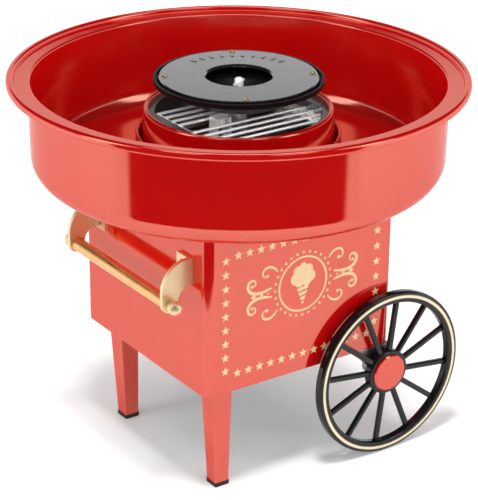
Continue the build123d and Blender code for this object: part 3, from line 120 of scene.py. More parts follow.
BOWL_INSIDE = 137.0 * MM  # between the radii of the bowl wall's two faces
BOWL_INSIDE_BLUR = 0.4 * MM
BOWL_INSIDE_FACING = (-0.10, -0.02)  # the normal's z, from the outer wall to what faces up
SMUDGE_FINENESS = 4.0
DUST_SCALE = 900.0
DUST_SIZE = (0.04, 0.10)
TURNED_RING_SCALE = 2600.0
TURNED_RING_GLOSS = 0.3
WAVE_DEPTH = 4.0 * MM
RING_DEPTH = 0.05 * MM
GRAIN_DEPTH = 0.1 * MM


def shade(color, factor):
    return tuple(min(1.0, channel * factor) for channel in color[:3]) + (1.0,)


def surface(
    name,
    color,
    metallic=0.0,
    roughness=0.3,
    roughness_spread=0.06,
    tone=0.05,
    tone_scale=35.0,
    grain_scale=1400.0,
    grain=0.04,
    wave_scale=60.0,
    wave=0.02,
    specks=0.0,
    coat=0.0,
    coat_ior=1.5,
    coat_roughness=0.03,
    ior=1.5,
    specular=0.5,
    specular_tint=WHITE,
    spun=0.0,
    second_color=None,
    satin_inside=0.0,
):
    """One procedural finish: clouded tone, uneven gloss, fine grain, slow waves and a few specks.

    spun adds the fine turned rings that spinning and turning leave round the spindle's axis.
    satin_inside is the extra roughness within the bowl, which hot sugar and washing leave.
    """
    material = bpy.data.materials.new(name)
    graph = Graph(material)
    where = graph.add("ShaderNodeTexCoord").outputs["Object"]
    cloud = graph.noise(where, tone_scale, detail=5.0)
    dark = shade(color, 1.0 - tone)
    light = second_color or shade(color, 1.0 + tone)
    base = graph.mix(graph.spread(cloud, 0.0, 1.0), dark, light)
    smudge = graph.noise(where, tone_scale * SMUDGE_FINENESS, detail=4.0)
    glossiest = max(0.01, roughness - roughness_spread)
    gloss = graph.spread(smudge, glossiest, roughness + roughness_spread)
    if specks:
        cell = graph.add("ShaderNodeTexVoronoi", {"Vector": where, "Scale": DUST_SCALE})
        dust = graph.spread(cell.outputs["Distance"], 1.0, 0.0, *DUST_SIZE)
        gloss = graph.math("ADD", gloss, graph.math("MULTIPLY", dust, specks))
    if satin_inside:
        reach = graph.distance_from_z(where)
        fade_from = BOWL_INSIDE - BOWL_INSIDE_BLUR
        within = graph.spread(reach, satin_inside, 0.0, fade_from, BOWL_INSIDE)
        normal_here = graph.add("ShaderNodeNewGeometry").outputs["Normal"]
        facing = graph.add("ShaderNodeSeparateXYZ", {"Vector": normal_here})
        upward = graph.spread(facing.outputs["Z"], 0.0, 1.0, *BOWL_INSIDE_FACING)
        gloss = graph.math("ADD", gloss, graph.math("MULTIPLY", within, upward))
    normal = graph.bump(graph.noise(where, wave_scale, detail=1.0), wave, WAVE_DEPTH)
    if spun:
        reach = graph.distance_from_z(where)
        rings = graph.add("ShaderNodeTexNoise", {"W": reach, "Scale": TURNED_RING_SCALE},
                          noise_dimensions="1D").outputs["Fac"]
        normal = graph.bump(rings, spun, RING_DEPTH, normal)
        gloss = graph.math("ADD", gloss, graph.spread(rings, 0.0, spun * TURNED_RING_GLOSS))
    normal = graph.bump(graph.noise(where, grain_scale, detail=2.0), grain, GRAIN_DEPTH, normal)
    inputs = {
        "Base Color": base,
        "Metallic": metallic,
        "Roughness": gloss,
        "Normal": normal,
        "Coat Weight": coat,
        "Coat IOR": coat_ior,
        "Coat Roughness": coat_roughness,
        "IOR": ior,
        "Specular IOR Level": specular,
        "Specular Tint": specular_tint,
    }
    shader = graph.add("ShaderNodeBsdfPrincipled", inputs)
    graph.add("ShaderNodeOutputMaterial", {"Surface": shader.outputs["BSDF"]})
    return material


# ---- Finishes ------------------------------------------------------------------------
RED = (0.74, 0.0030, 0.0045, 1.0)
LACQUER_TINT = (1.0, 0.50, 0.38, 1.0)
# The brackets' and finials' gold is painted light: a paler, lit copy of the bar's gold lacquer,
# standing in for the white their faces mirror.
LIT_GOLD = (1.0, 0.76, 0.45, 1.0)
BAR_GOLD = (0.94, 0.56, 0.22, 1.0)
CREAM = (0.93, 0.68, 0.34, 1.0)
BLACK = (0.009, 0.009, 0.010, 1.0)

red = surface("red_lacquer", RED, roughness=0.075, roughness_spread=0.02, tone=0.03, wave=0.004,
              grain=0.010, specks=0.02, ior=2.35, specular=1.0, specular_tint=LACQUER_TINT)
bowl_red = surface("bowl_lacquer", RED, roughness=0.075, roughness_spread=0.02, tone=0.03,
                   wave=0.004, grain=0.010, ior=2.35, specular=1.0, specular_tint=LACQUER_TINT,
                   satin_inside=0.07)
black_gloss = surface("black_gloss", BLACK, roughness=0.18, tone=0.12, wave=0.02, grain=0.03,
                      specks=0.05, ior=1.4, coat=0.2, coat_ior=1.5, coat_roughness=0.06)
head_black = surface("head_enamel", BLACK, roughness=0.30, tone=0.10, wave=0.015, grain=0.06,
                     specks=0.04, coat=1.0, coat_ior=2.1, coat_roughness=0.10)
# Near-black enamel of the head's pan. On the spun metal candy cup it is painted shade, the dark
# inside of the head's hole.
pan_black_and_hole_shade = surface("pan_enamel_and_hole_shade", (0.006, 0.006, 0.007, 1.0), roughness=0.42, tone=0.12, grain=0.08,
                    ior=1.35, specular=0.3)
black_matt = surface("moulded_black", (0.022, 0.022, 0.024, 1.0), roughness=0.55, grain=0.35,
                     grain_scale=2200.0, tone=0.10)
rubber = surface("black_rubber", (0.018, 0.018, 0.018, 1.0), roughness=0.75, grain=0.45,
                 grain_scale=1800.0, tone=0.15)
# Painted light: this paler gold is a lit copy of the bar's gold, for the brackets and finials.
lit_gold = surface("lit_gold_lacquer", LIT_GOLD, metallic=0.80, roughness=0.42, tone=0.05, grain=0.06,
               specks=0.08, coat=0.35, coat_roughness=0.12)
bar_gold = surface("bar_lacquer", BAR_GOLD, metallic=0.88, roughness=0.30, tone=0.06, grain=0.06,
                   specks=0.08, coat=0.25, coat_roughness=0.12)
# Only partly metallic with a near-white base: the diffuse white is a painted sheen that brightens
# the heater parts in place of the chrome's reflections.
chrome_with_painted_sheen = surface("plate_with_painted_sheen", (0.96, 0.955, 0.95, 1.0), metallic=0.55, roughness=0.24,
                 roughness_spread=0.05, tone=0.04, grain=0.05, specks=0.1)
steel = surface("plain_steel", (0.50, 0.50, 0.51, 1.0), metallic=1.0, roughness=0.34,
                roughness_spread=0.10, tone=0.12, grain=0.20, spun=0.15)
spun_sheet = surface("spun_sheet", (0.27, 0.26, 0.26, 1.0), metallic=1.0, roughness=0.26,
                     roughness_spread=0.07, tone=0.07, grain=0.06, spun=0.55)
brass = surface("bright_brass", (0.83, 0.68, 0.38, 1.0), metallic=1.0, roughness=0.18,
                tone=0.08, grain=0.05, specks=0.1)
tube_metal = surface("heated_sheath", (0.16, 0.14, 0.13, 1.0), metallic=0.9, roughness=0.42,
                     roughness_spread=0.12, tone=0.2, tone_scale=90.0, grain=0.25,
                     second_color=(0.34, 0.25, 0.20, 1.0))
ceramic = surface("fired_ceramic", (0.78, 0.75, 0.68, 1.0), roughness=0.62, tone=0.08, grain=0.40,
                  grain_scale=1500.0)
copper = surface("bare_copper", (0.62, 0.27, 0.14, 1.0), metallic=1.0, roughness=0.30, tone=0.15,
                 grain=0.10)
ferrite = surface("sintered_ferrite", (0.055, 0.055, 0.06, 1.0), roughness=0.70, grain=0.40,
                  tone=0.15)
print_ink = surface("cream_print", CREAM, roughness=0.34, tone=0.06, tone_scale=120.0, grain=0.10,
                    grain_scale=2600.0, coat=0.8, coat_ior=1.8, coat_roughness=0.04)
stripe_ink = surface("cream_stripe", (0.97, 0.88, 0.66, 1.0), roughness=0.30, tone=0.05, grain=0.06,
                     coat=0.8, coat_ior=1.7, coat_roughness=0.04)
stripe_edge = surface("stripe_edge_gold", (0.62, 0.44, 0.19, 1.0), metallic=0.5, roughness=0.35,
                      tone=0.10, grain=0.06)

BY_NODE = {
    bowl_red: "bowl",
    red: "body_box top_deck leg_front leg_rear hub_cap_front hub_cap_rear",
    black_gloss: "wheel_front wheel_rear switch_housing switch_rocker cord_gland cord_gland_nut",
    head_black: "head_plate",
    # The candy cup takes the pan's black as painted shade for the dark inside of the hole; the pan
    # itself is black.
    pan_black_and_hole_shade: "head_pan candy_cup",
    black_matt: "bottom_cover motor_end_cap cooling_fan terminal_block motor_brushes",
    rubber: "foot_tip_front foot_tip_rear motor_grommets",
    # The brackets and finials wear the paler gold, painted light in place of their lit faces.
    lit_gold: "handle_bracket_front handle_bracket_rear handle_finials",
    bar_gold: "handle_bar",
    # The heater guard, cutout, stud, sleeve and pin carry a painted sheen of diffuse white over
    # their chrome.
    chrome_with_painted_sheen: "heater_guard cutout_bracket thermal_cutout head_stud head_sleeve shaft_pin",
    steel: (
        "bottom_cover_screws deck_screws leg_screws axle_bracket_screws axle axle_washers "
        "wheel_retainers handle_screws motor_bracket motor_bracket_screws motor_can motor_screws "
        "motor_shaft motor_armature axle_bracket_front axle_bracket_rear"
    ),
    spun_sheet: "heater_tray",
    brass: "head_screws motor_bushes",
    tube_metal: "heating_tube_front heating_tube_rear",
    ceramic: "ceramic_block_handle_end ceramic_block_wheel_end",
    copper: "motor_windings commutator",
    ferrite: "motor_magnets",
}


def smooth_by_angle(obj, degrees=32.0):
    """Shade a piece's curved faces smooth and keep its real edges sharp."""
    mesh = obj.data
    if mesh.has_custom_normals:
        return
    mesh.shade_smooth()
    mesh.set_sharp_from_angle(angle=math.radians(degrees))


for material, names in BY_NODE.items():
    for name in names.split():
        piece = nodes[name]
        piece.data.materials.clear()
        piece.data.materials.append(material)
        smooth_by_angle(piece)


# ---- Thin raised prints on the front panel -------------------------------------------
PANEL_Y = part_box("body_box")[0].y
PRINT_PROUD = 0.06 * MM
PRINT_SUNK = 0.03 * MM
PRINT_STEP = 0.004 * MM
PRINT_LAYERS = 9


class Print:
    """Flat shapes in x and z on the front panel, gathered into one thin raised mesh."""

    def __init__(self):
        self.vertices = []
        self.faces = []
        self.count = 0

    def layers(self):
        """The outer and inner y of the next shape; no two neighbours share a plane."""
        self.count += 1
        extra = PRINT_STEP * (self.count % PRINT_LAYERS)
        return PANEL_Y - PRINT_PROUD - extra, PANEL_Y + PRINT_SUNK + extra

    def shape(self, outline):
        """A closed outline, in millimetres, as a thin closed plate."""
        first = len(self.vertices)
        count = len(outline)
        for y in self.layers():
            self.vertices += [(x * MM, y, z * MM) for x, z in outline]
        self.faces.append([first + i for i in range(count)])
        self.faces.append([first + count + i for i in reversed(range(count))])
        for i in range(count):
            j = (i + 1) % count
            self.faces.append([first + j, first + i, first + count + i, first + count + j])

    def stroke(self, line, widths, closed=False):
        """A brush line of changing width, made of short closed pieces that meet edge to edge."""
        count = len(line)
        left, right = [], []
        for i, (x, z) in enumerate(line):
            before = line[(i - 1) % count] if closed else line[max(i - 1, 0)]
            after = line[(i + 1) % count] if closed else line[min(i + 1, count - 1)]
            dx, dz = after[0] - before[0], after[1] - before[1]
            length = math.hypot(dx, dz) or 1.0
            half = widths[i] / 2
            left.append((x - dz / length * half, z + dx / length * half))
            right.append((x + dz / length * half, z - dx / length * half))
        first = len(self.vertices)
        for y in self.layers():
            for side in (left, right):
                self.vertices += [(x * MM, y, z * MM) for x, z in side]
        l0, r0, l1, r1 = (first + k * count for k in range(4))
        for i in range(count if closed else count - 1):
            j = (i + 1) % count
            self.faces.append([l0 + i, l0 + j, r0 + j, r0 + i])
            self.faces.append([l1 + j, l1 + i, r1 + i, r1 + j])
            self.faces.append([l0 + j, l0 + i, l1 + i, l1 + j])
            self.faces.append([r0 + i, r0 + j, r1 + j, r1 + i])
        if not closed:
            last = count - 1
            self.faces.append([l0, r0, r1, l1])
            self.faces.append([r0 + last, l0 + last, l1 + last, r1 + last])

    def ring(self, x, z, half_width, half_height, line, steps=72):
        points = []
        for i in range(steps):
            angle = 2 * math.pi * i / steps
            points.append((x + half_width * math.cos(angle), z + half_height * math.sin(angle)))
        self.stroke(points, [line] * steps, closed=True)

    def disc(self, x, z, radius, steps=16):
        turn = [2 * math.pi * i / steps for i in range(steps)]
        self.shape([(x + radius * math.cos(a), z + radius * math.sin(a)) for a in turn])

    def done(self, name, material, body):
        return add_mesh(name, self.vertices, self.faces, material, body)


def add_mesh(name, vertices, faces, material, body, smooth=False):
    mesh = bpy.data.meshes.new(name)
    mesh.from_pydata(vertices, [], faces)
    mesh.validate()
    shell = bmesh.new()
    shell.from_mesh(mesh)
    bmesh.ops.recalc_face_normals(shell, faces=shell.faces)
    shell.to_mesh(mesh)
    shell.free()
    mesh.update()
    piece = bpy.data.objects.new(name, mesh)
    scene.collection.objects.link(piece)
    mesh.materials.append(material)
    if smooth:
        smooth_by_angle(piece)
    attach(piece, body)
    return piece


STAR_RADIUS = 3.35
STAR_WAIST = 0.44
STAR_COLUMN_LEFT = -60.5
STAR_COLUMN_RIGHT = 61.3
STAR_ROW_TOP = 173.0
STAR_ROW_BOTTOM = 89.6
# First and last star and their number, in each column and row.
STARS_LEFT = (171.0, 93.0, 9)
STARS_RIGHT = (164.0, 97.0, 7)
STARS_ACROSS = (-51.0, 54.7, 13)


def star(x, z, radius=STAR_RADIUS):
    """The outline of a five-pointed star."""
    points = []
    for i in range(10):
        reach = radius if i % 2 == 0 else radius * STAR_WAIST
        angle = math.radians(90 + 36 * i)
        points.append((x + reach * math.cos(angle), z + reach * math.sin(angle)))
    return points


def spaced(first, last, count):
    """Evenly spaced places, both ends included."""
    return [first + (last - first) * i / (count - 1) for i in range(count)]


border = Print()
for z in spaced(*STARS_LEFT):
    border.shape(star(STAR_COLUMN_LEFT, z))
for x in spaced(*STARS_ACROSS):
    border.shape(star(x, STAR_ROW_BOTTOM))
    border.shape(star(x, STAR_ROW_TOP))
for z in spaced(*STARS_RIGHT):
    border.shape(star(STAR_COLUMN_RIGHT, z))
border.done("star_border", print_ink, "base")

# A generic ornament in the middle of the panel: a cone of spun sugar in a beaded ring, with
# scrolls at its sides.
EMBLEM_X = 0.5
EMBLEM_Z = 140.5
RING_RADIUS = 19.0
RING_LINE = 1.3
BEAD_CIRCLE = 22.4
BEAD_RADIUS = 0.95
BEAD_COUNT = 28
CONE_TIP_Z = -15.5
CONE_TOP_Z = -1.5
CONE_HALF_WIDTH = 5.0
CONE_STRIPES = 4
CONE_STRIPE_LOW = 0.12
CONE_STRIPE_HIGH = 0.82
CONE_SLANT = 0.7
PUFFS = (
    (0.0, 7.2, 6.0), (-5.6, 4.4, 4.3), (5.6, 4.4, 4.3), (-2.9, 1.6, 3.6), (2.9, 1.6, 3.6),
    (-4.0, 9.4, 3.9), (4.0, 9.4, 3.9), (0.0, 12.6, 2.6),
)
# Start, heading in degrees, length, bend, curl and width of each scroll on one side.
SCROLLS = (
    ((25.0, 3.2), -14.0, 36.0, 0.012, 0.55, 1.7),
    ((25.0, -3.2), 14.0, 36.0, -0.012, -0.55, 1.7),
    ((20.5, 13.5), 62.0, 21.0, -0.09, -0.42, 1.2),
    ((20.5, -13.5), -62.0, 21.0, 0.09, 0.42, 1.2),
)
SCROLL_THINNEST = 0.45
SWELL_START = 0.12
SWELL_REST = 0.88
SWELL_POWER = 0.8
SCROLL_BEAD = 1.15
LOZENGES = ((28.0, 1.1), (33.0, 1.5), (39.5, 2.2))
LOZENGE_FLATNESS = 0.7


def on_emblem(points, mirror=1.0):
    return [(EMBLEM_X + mirror * x, EMBLEM_Z + z) for x, z in points]


def union_outline(discs, steps=96):
    """The outline of overlapping discs as seen from their common middle."""
    mid_x = sum(x for x, z, r in discs) / len(discs)
    mid_z = sum(z for x, z, r in discs) / len(discs)
    outline = []
    for i in range(steps):
        angle = 2 * math.pi * i / steps
        ux, uz = math.cos(angle), math.sin(angle)
        reach = 0.0
        for x, z, r in discs:
            dx, dz = x - mid_x, z - mid_z
            along = dx * ux + dz * uz
            off = dx * dx + dz * dz - along * along
            if off < r * r:
                reach = max(reach, along + math.sqrt(r * r - off))
        outline.append((mid_x + reach * ux, mid_z + reach * uz))
    return outline


def scroll(print_mesh, start, heading, length, bend, curl, width, mirror, steps=48):
    """A swelling line that bends steadily and curls up at its end, with a bead in the curl."""
    x, z = start
    angle = math.radians(heading)
    points, widths = [], []
    step = length / steps
    for i in range(steps + 1):
        share = i / steps
        points.append((x, z))
        swell = math.sin(math.pi * min(1.0, SWELL_START + SWELL_REST * share)) ** SWELL_POWER
        widths.append(SCROLL_THINNEST + width * swell)
        angle += (bend + curl * share**2) * step
        x += math.cos(angle) * step
        z += math.sin(angle) * step
    print_mesh.stroke(on_emblem(points, mirror), widths)
    end_x, end_z = points[-1]
    print_mesh.disc(EMBLEM_X + mirror * end_x, EMBLEM_Z + end_z, SCROLL_BEAD)


emblem = Print()
emblem.ring(EMBLEM_X, EMBLEM_Z, RING_RADIUS, RING_RADIUS, RING_LINE)
for i in range(BEAD_COUNT):
    turn_angle = 2 * math.pi * i / BEAD_COUNT
    emblem.disc(
        EMBLEM_X + BEAD_CIRCLE * math.cos(turn_angle),
        EMBLEM_Z + BEAD_CIRCLE * math.sin(turn_angle),
        BEAD_RADIUS,
        steps=12,
    )
emblem.shape(on_emblem(union_outline(PUFFS)))
for i in range(CONE_STRIPES):
    low_share = (i + CONE_STRIPE_LOW) / CONE_STRIPES
    high_share = (i + CONE_STRIPE_HIGH) / CONE_STRIPES
    corners = []
    for share, sign in ((low_share, -1), (low_share, 1), (high_share, 1), (high_share, -1)):
        slant = CONE_SLANT * sign * share
        z = CONE_TIP_Z + (CONE_TOP_Z - CONE_TIP_Z) * share + slant
        corners.append((sign * CONE_HALF_WIDTH * share, z))
    emblem.shape(on_emblem(corners))
for mirror in (-1.0, 1.0):
    for start, heading, length, bend, curl, width in SCROLLS:
        scroll(emblem, start, heading, length, bend, curl, width, mirror)
    for reach, size in LOZENGES:
        tall = size * LOZENGE_FLATNESS
        lozenge = [(reach - size, 0.0), (reach, -tall), (reach + size, 0.0), (reach, tall)]
        emblem.shape(on_emblem(lozenge, mirror))
emblem.done("panel_ornament", print_ink, "base")


# ---- Wheel stripes -------------------------------------------------------------------
STRIPE_RADIUS = 56.0
STRIPE_WIDTH = 2.3
STRIPE_EDGE = 0.35
STRIPE_SUNK = -0.2
STRIPE_PROUD = 0.10


def lathe(name, profile, centre, axis, material, body, steps=160):
    """Turn a profile of (radius, height) points, in millimetres, round an axis."""
    axis = Vector(axis).normalized()
    across = axis.orthogonal().normalized()
    other = axis.cross(across)
    vertices, faces = [], []
    count = len(profile)
    for i in range(steps):
        angle = 2 * math.pi * i / steps
        out = across * math.cos(angle) + other * math.sin(angle)
        vertices += [tuple(Vector(centre) + out * r * MM + axis * h * MM) for r, h in profile]
    for i in range(steps):
        here, there = i * count, (i + 1) % steps * count
        for k in range(count):
            n = (k + 1) % count
            faces.append([here + k, here + n, there + n, there + k])
    return add_mesh(name, vertices, faces, material, body, smooth=True)


for body, side in (("wheel_front", -1.0), ("wheel_rear", 1.0)):
    low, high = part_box(body)
    middle = ((low.x + high.x) / 2, low.y if side < 0 else high.y, (low.z + high.z) / 2)
    half = STRIPE_WIDTH / 2
    lathe(
        body + "_stripe",
        [
            (STRIPE_RADIUS - half + STRIPE_EDGE, STRIPE_SUNK),
            (STRIPE_RADIUS - half + STRIPE_EDGE, STRIPE_PROUD / 2),
            (STRIPE_RADIUS, STRIPE_PROUD),
            (STRIPE_RADIUS + half - STRIPE_EDGE, STRIPE_PROUD / 2),
            (STRIPE_RADIUS + half - STRIPE_EDGE, STRIPE_SUNK),
        ],
        middle,
        (0, side, 0),
        stripe_ink,
        body,
    )
    for word, low_r, high_r in (
        ("inner", STRIPE_RADIUS - half, STRIPE_RADIUS - half + STRIPE_EDGE),
        ("outer", STRIPE_RADIUS + half - STRIPE_EDGE, STRIPE_RADIUS + half),
    ):
        lathe(
            f"{body}_stripe_{word}_edge",
            [
                (low_r, STRIPE_SUNK),
                (low_r, STRIPE_PROUD / 2),
                (high_r, STRIPE_PROUD / 2),
                (high_r, STRIPE_SUNK),
            ],
            middle,
            (0, side, 0),
            stripe_edge,
            body,
        )


# ---- The bowl, turned finely, so that its bead mirrors cleanly -----------------------
BOWL_STEPS = 360
ARC_STEP = math.radians(9)
ARC_LEAST = 4
DECK_TOP = 196.3
BOWL_TOP = 264.8
# The solid's own profile: radius, height and rounding of each corner, in millimetres.
BOWL_CORNERS = (
    (66.1, DECK_TOP, 0.0),
    (137.7, DECK_TOP, 16.0),
    (138.8, BOWL_TOP - 5.0, 1.5),
    (152.5, BOWL_TOP - 5.0, 2.0),
    (152.5, BOWL_TOP, 2.0),
    (147.2, BOWL_TOP, 2.0),
    (147.2, BOWL_TOP - 2.8, 0.75),
    (136.4, BOWL_TOP - 2.8, 1.5),
    (135.3, DECK_TOP + 2.4, 13.6),
    (68.5, DECK_TOP + 2.4, 5.0),
    (68.5, DECK_TOP + 28.2, 1.08),
    (66.1, DECK_TOP + 28.2, 1.08),
)


def rounded(corners):
    """A closed profile with each corner rounded by its own radius."""
    line = []
    for i, (x, z, radius) in enumerate(corners):
        here = Vector((x, z))
        if not radius:
            line.append((x, z))
            continue
        before = (Vector(corners[i - 1][:2]) - here).normalized()
        after = (Vector(corners[(i + 1) % len(corners)][:2]) - here).normalized()
        half = before.angle(after) / 2
        middle = here + (before + after).normalized() * (radius / math.sin(half))
        first = here + before * (radius / math.tan(half)) - middle
        last = here + after * (radius / math.tan(half)) - middle
        sweep = first.angle(last)
        count = max(ARC_LEAST, math.ceil(sweep / ARC_STEP))
        for k in range(count + 1):
            share = k / count
            out = first * math.sin((1 - share) * sweep) + last * math.sin(share * sweep)
            line.append(tuple(middle + out / math.sin(sweep)))
    return line


bowl_turned = lathe("bowl_turned", rounded(BOWL_CORNERS), (0, 0, 0), (0, 0, 1), bowl_red, "bowl",
                    steps=BOWL_STEPS)
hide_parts("bowl")


# ---- Camera at the photograph's place ------------------------------------------------
CAMERA_PLACE = (-0.7024, -1.0135, 0.6799)
CAMERA_RIGHT = (0.82366, -0.56701, 0.00938)
CAMERA_UP = (0.22144, 0.33682, 0.91516)
CAMERA_BACK = (-0.52206, -0.75170, 0.40298)
CAMERA_LENS = 142.2

camera_data = bpy.data.cameras.new("camera")
camera_data.lens = CAMERA_LENS
camera_data.sensor_width = 36.0
camera_data.sensor_fit = "AUTO"
camera_data.clip_start = 0.01
camera = bpy.data.objects.new("camera", camera_data)
scene.collection.objects.link(camera)
turn = Matrix((CAMERA_RIGHT, CAMERA_UP, CAMERA_BACK)).transposed()
camera.matrix_world = Matrix.Translation(CAMERA_PLACE) @ turn.to_4x4()
scene.camera = camera


# ---- Studio: a low white surround, open and dark at the front, over a pale table -----
FRONT = Vector((CAMERA_BACK[0], CAMERA_BACK[1], 0.0)).normalized()
SIDEWAYS = Vector((-FRONT.y, FRONT.x, 0.0))
UP = Vector((0.0, 0.0, 1.0))
DARK = (0.012, 0.010, 0.010, 1.0)

# What gloss reflects: white walls of this height, as an angle, but not in the opening.
WALL_TOP = 20.1
WALL_BLUR = 0.006
OPENING_HALF_ANGLE = 62.0
OPENING_BLUR = 0.02

# What lights the object: brightest in a low band all round, which the bowl's rim keeps out of
# the bowl.
LIGHT_ABOVE = 0.30
LIGHT_LEVEL = 2.3
LIGHT_BELOW = 0.8
BAND_TOP = 13.0
BAND_BLUR = 0.06
BELOW_BLUR = 0.08

world = bpy.data.worlds.new("studio")
scene.world = world
graph = Graph(world)
ray = graph.add("ShaderNodeTexCoord").outputs["Generated"]
level = graph.add("ShaderNodeVectorMath", {0: ray, 1: ACROSS_Z}, operation="MULTIPLY")
level = graph.add("ShaderNodeVectorMath", {0: level.outputs["Vector"]}, operation="NORMALIZE")
ahead = graph.add("ShaderNodeVectorMath", {0: level.outputs["Vector"], 1: tuple(FRONT)},
                  operation="DOT_PRODUCT").outputs["Value"]
edge = math.cos(math.radians(OPENING_HALF_ANGLE))
in_opening = graph.spread(ahead, 0.0, 1.0, edge - OPENING_BLUR, edge + OPENING_BLUR)
height = graph.add("ShaderNodeSeparateXYZ", {"Vector": ray}).outputs["Z"]
top = math.sin(math.radians(WALL_TOP))
below_top = graph.spread(height, 1.0, 0.0, top - WALL_BLUR, top + WALL_BLUR)
wall = graph.math("MULTIPLY", graph.math("SUBTRACT", 1.0, in_opening), below_top)
surround = graph.mix(wall, DARK, WHITE)
path = graph.add("ShaderNodeLightPath")
band = math.sin(math.radians(BAND_TOP))
upper = graph.spread(height, LIGHT_LEVEL, LIGHT_ABOVE, band - BAND_BLUR, band + BAND_BLUR)
lower = graph.spread(height, LIGHT_BELOW, LIGHT_LEVEL, -BELOW_BLUR, 0.0)
strength = graph.math("MINIMUM", upper, lower)
soft = graph.add("ShaderNodeBackground", {"Color": WHITE, "Strength": strength})
mirrored = graph.add("ShaderNodeBackground", {"Color": surround, "Strength": 1.0})
seen = graph.add("ShaderNodeBackground", {"Color": WHITE, "Strength": 1.0})
first = graph.add("ShaderNodeMixShader", {0: path.outputs["Is Glossy Ray"]})
graph.tree.links.new(soft.outputs[0], first.inputs[1])
graph.tree.links.new(mirrored.outputs[0], first.inputs[2])
second = graph.add("ShaderNodeMixShader", {0: path.outputs["Is Camera Ray"]})
graph.tree.links.new(first.outputs[0], second.inputs[1])
graph.tree.links.new(seen.outputs[0], second.inputs[2])
graph.add("ShaderNodeOutputWorld", {"Surface": second.outputs[0]})


# The table is a wide round top. In front of the object it ends at TABLE_FRONT, with rounded
# corners, so that the bowl and the box mirror the dark opening there.
TABLE_REACH = 3.0
TABLE_FRONT = 0.40
TABLE_CORNER = 0.10
TABLE_CORNER_ANGLE = 14.0
TABLE_CORNER_STEPS = 8
TABLE_BACK_ANGLES = range(64, 297, 4)
TABLE_FRONT_ANGLES = range(46, 0, -3)


def on_table(distance, angle):
    """A point of the table, by its distance from the object and its angle from the front."""
    turned = math.radians(angle)
    return tuple(FRONT * distance * math.cos(turned) + SIDEWAYS * distance * math.sin(turned))


outline = [on_table(TABLE_REACH, a) for a in TABLE_BACK_ANGLES]
for sign in (-1, 1):
    edge_points = [on_table(TABLE_REACH, sign * OPENING_HALF_ANGLE)]
    for i in range(TABLE_CORNER_STEPS + 1):
        share = i / TABLE_CORNER_STEPS * math.pi / 2
        angle = OPENING_HALF_ANGLE - TABLE_CORNER_ANGLE * (1 - math.cos(share))
        distance = TABLE_FRONT + TABLE_CORNER * (1 - math.sin(share))
        edge_points.append(on_table(distance, sign * angle))
    edge_points += [on_table(TABLE_FRONT, sign * a) for a in TABLE_FRONT_ANGLES]
    outline += edge_points if sign < 0 else edge_points[::-1]
table_mesh = bpy.data.meshes.new("table")
table_mesh.from_pydata(outline, [], [list(range(len(outline)))])
table = bpy.data.objects.new("table", table_mesh)
scene.collection.objects.link(table)

# The paper glows a little, to the camera and in what it is mirrored by, and more far away, so
# that it is white behind the object and still keeps the shadow.
PAPER_GLOW = 0.16
PAPER_GLOW_FAR = 1.0
PAPER_NEAR = 0.5
PAPER_FAR = 1.3
PAPER_SEEN = (0.88, 0.92, 0.92, 1.0)
PAPER_MIRRORED = (0.70, 0.70, 0.70, 1.0)
paper = bpy.data.materials.new("table_paper")
graph = Graph(paper)
path = graph.add("ShaderNodeLightPath")
glossy_ray, passing_ray = path.outputs["Is Glossy Ray"], path.outputs["Is Transmission Ray"]
mirror_ray = graph.math("MAXIMUM", glossy_ray, passing_ray)
shown = graph.math("MAXIMUM", path.outputs["Is Camera Ray"], mirror_ray)
spot = graph.add("ShaderNodeTexCoord").outputs["Object"]
away = graph.add("ShaderNodeVectorMath", {0: spot}, operation="LENGTH").outputs["Value"]
glow = graph.spread(away, PAPER_GLOW, PAPER_GLOW_FAR, PAPER_NEAR, PAPER_FAR)
glow = graph.math("MULTIPLY", shown, glow)
lift = graph.add("ShaderNodeEmission", {"Color": WHITE, "Strength": glow})
tone = graph.mix(path.outputs["Is Camera Ray"], PAPER_MIRRORED, PAPER_SEEN)
matt = graph.add("ShaderNodeBsdfDiffuse", {"Color": tone})
both = graph.add("ShaderNodeAddShader")
graph.tree.links.new(matt.outputs[0], both.inputs[0])
graph.tree.links.new(lift.outputs[0], both.inputs[1])
graph.add("ShaderNodeOutputMaterial", {"Surface": both.outputs[0]})
table_mesh.materials.append(paper)


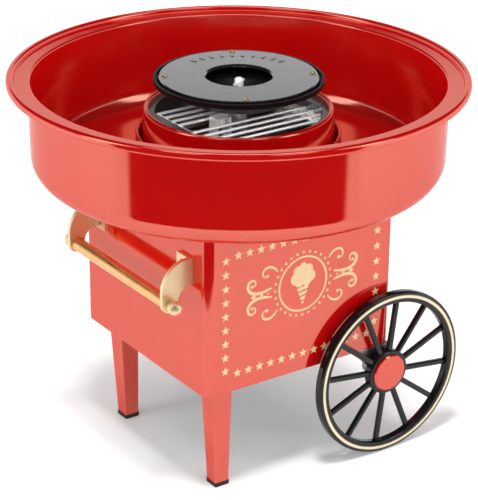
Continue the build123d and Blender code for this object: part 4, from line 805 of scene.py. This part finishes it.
def softbox(name, ahead, aside, up, aim, width, height, power, glossy=True):
    """A rectangular lamp, placed from the object's foot and aimed at a height above it."""
    light = bpy.data.lights.new(name, "AREA")
    light.shape = "RECTANGLE"
    light.size = width
    light.size_y = height
    light.energy = power
    lamp = bpy.data.objects.new(name, light)
    scene.collection.objects.link(lamp)
    place = FRONT * ahead + SIDEWAYS * aside + UP * up
    lamp.location = place
    lamp.rotation_mode = "QUATERNION"
    lamp.rotation_quaternion = (UP * aim - place).to_track_quat("-Z", "Y")
    lamp.visible_glossy = glossy
    return lamp


# Metres ahead, aside and up, the height aimed at, the lamp's width and height, and watts.
for name, *placing in (
    ("key_light", -0.45, 0.0, 1.7, 0.1, 0.9, 0.6, 5.0),
    ("left_strip", 0.62, 0.42, 1.3, 0.2, 0.34, 0.22, 0.8),
    ("right_strip", 0.62, -0.42, 1.3, 0.2, 0.34, 0.22, 0.8),
    ("left_light", 0.5, 1.2, 1.0, 0.15, 0.5, 0.9, 3.6),
    ("right_light", 0.5, -1.2, 1.0, 0.15, 0.5, 0.9, 3.6),
):
    softbox(name, *placing)

# The table has its own lamp, from the front. The bowl casts no shadow in that light, so the
# shadow stays under the cart as in the photograph.
over_table = softbox("table_light", 0.45, 0.0, 1.5, 0.0, 0.25, 0.25, 12.5, glossy=False)
table_only = bpy.data.collections.new("table_only")
table_only.objects.link(table)
cart_only = bpy.data.collections.new("cart_only")
for name, piece in nodes.items():
    if name != "bowl":
        cart_only.objects.link(piece)
over_table.light_linking.receiver_collection = table_only
over_table.light_linking.blocker_collection = cart_only

# A low fill for the bright heater parts, which sit deep under the head.
HEATER_PARTS = (
    "heater_guard cutout_bracket thermal_cutout head_stud "
    "ceramic_block_handle_end ceramic_block_wheel_end"
)
heater_fill = softbox("heater_fill", 0.55, 0.0, 0.50, 0.235, 0.40, 0.16, 4.5)
heater_parts = bpy.data.collections.new("heater_parts")
for name in HEATER_PARTS.split():
    heater_parts.objects.link(nodes[name])
heater_fill.light_linking.receiver_collection = heater_parts

scene.view_settings.view_transform = "Standard"
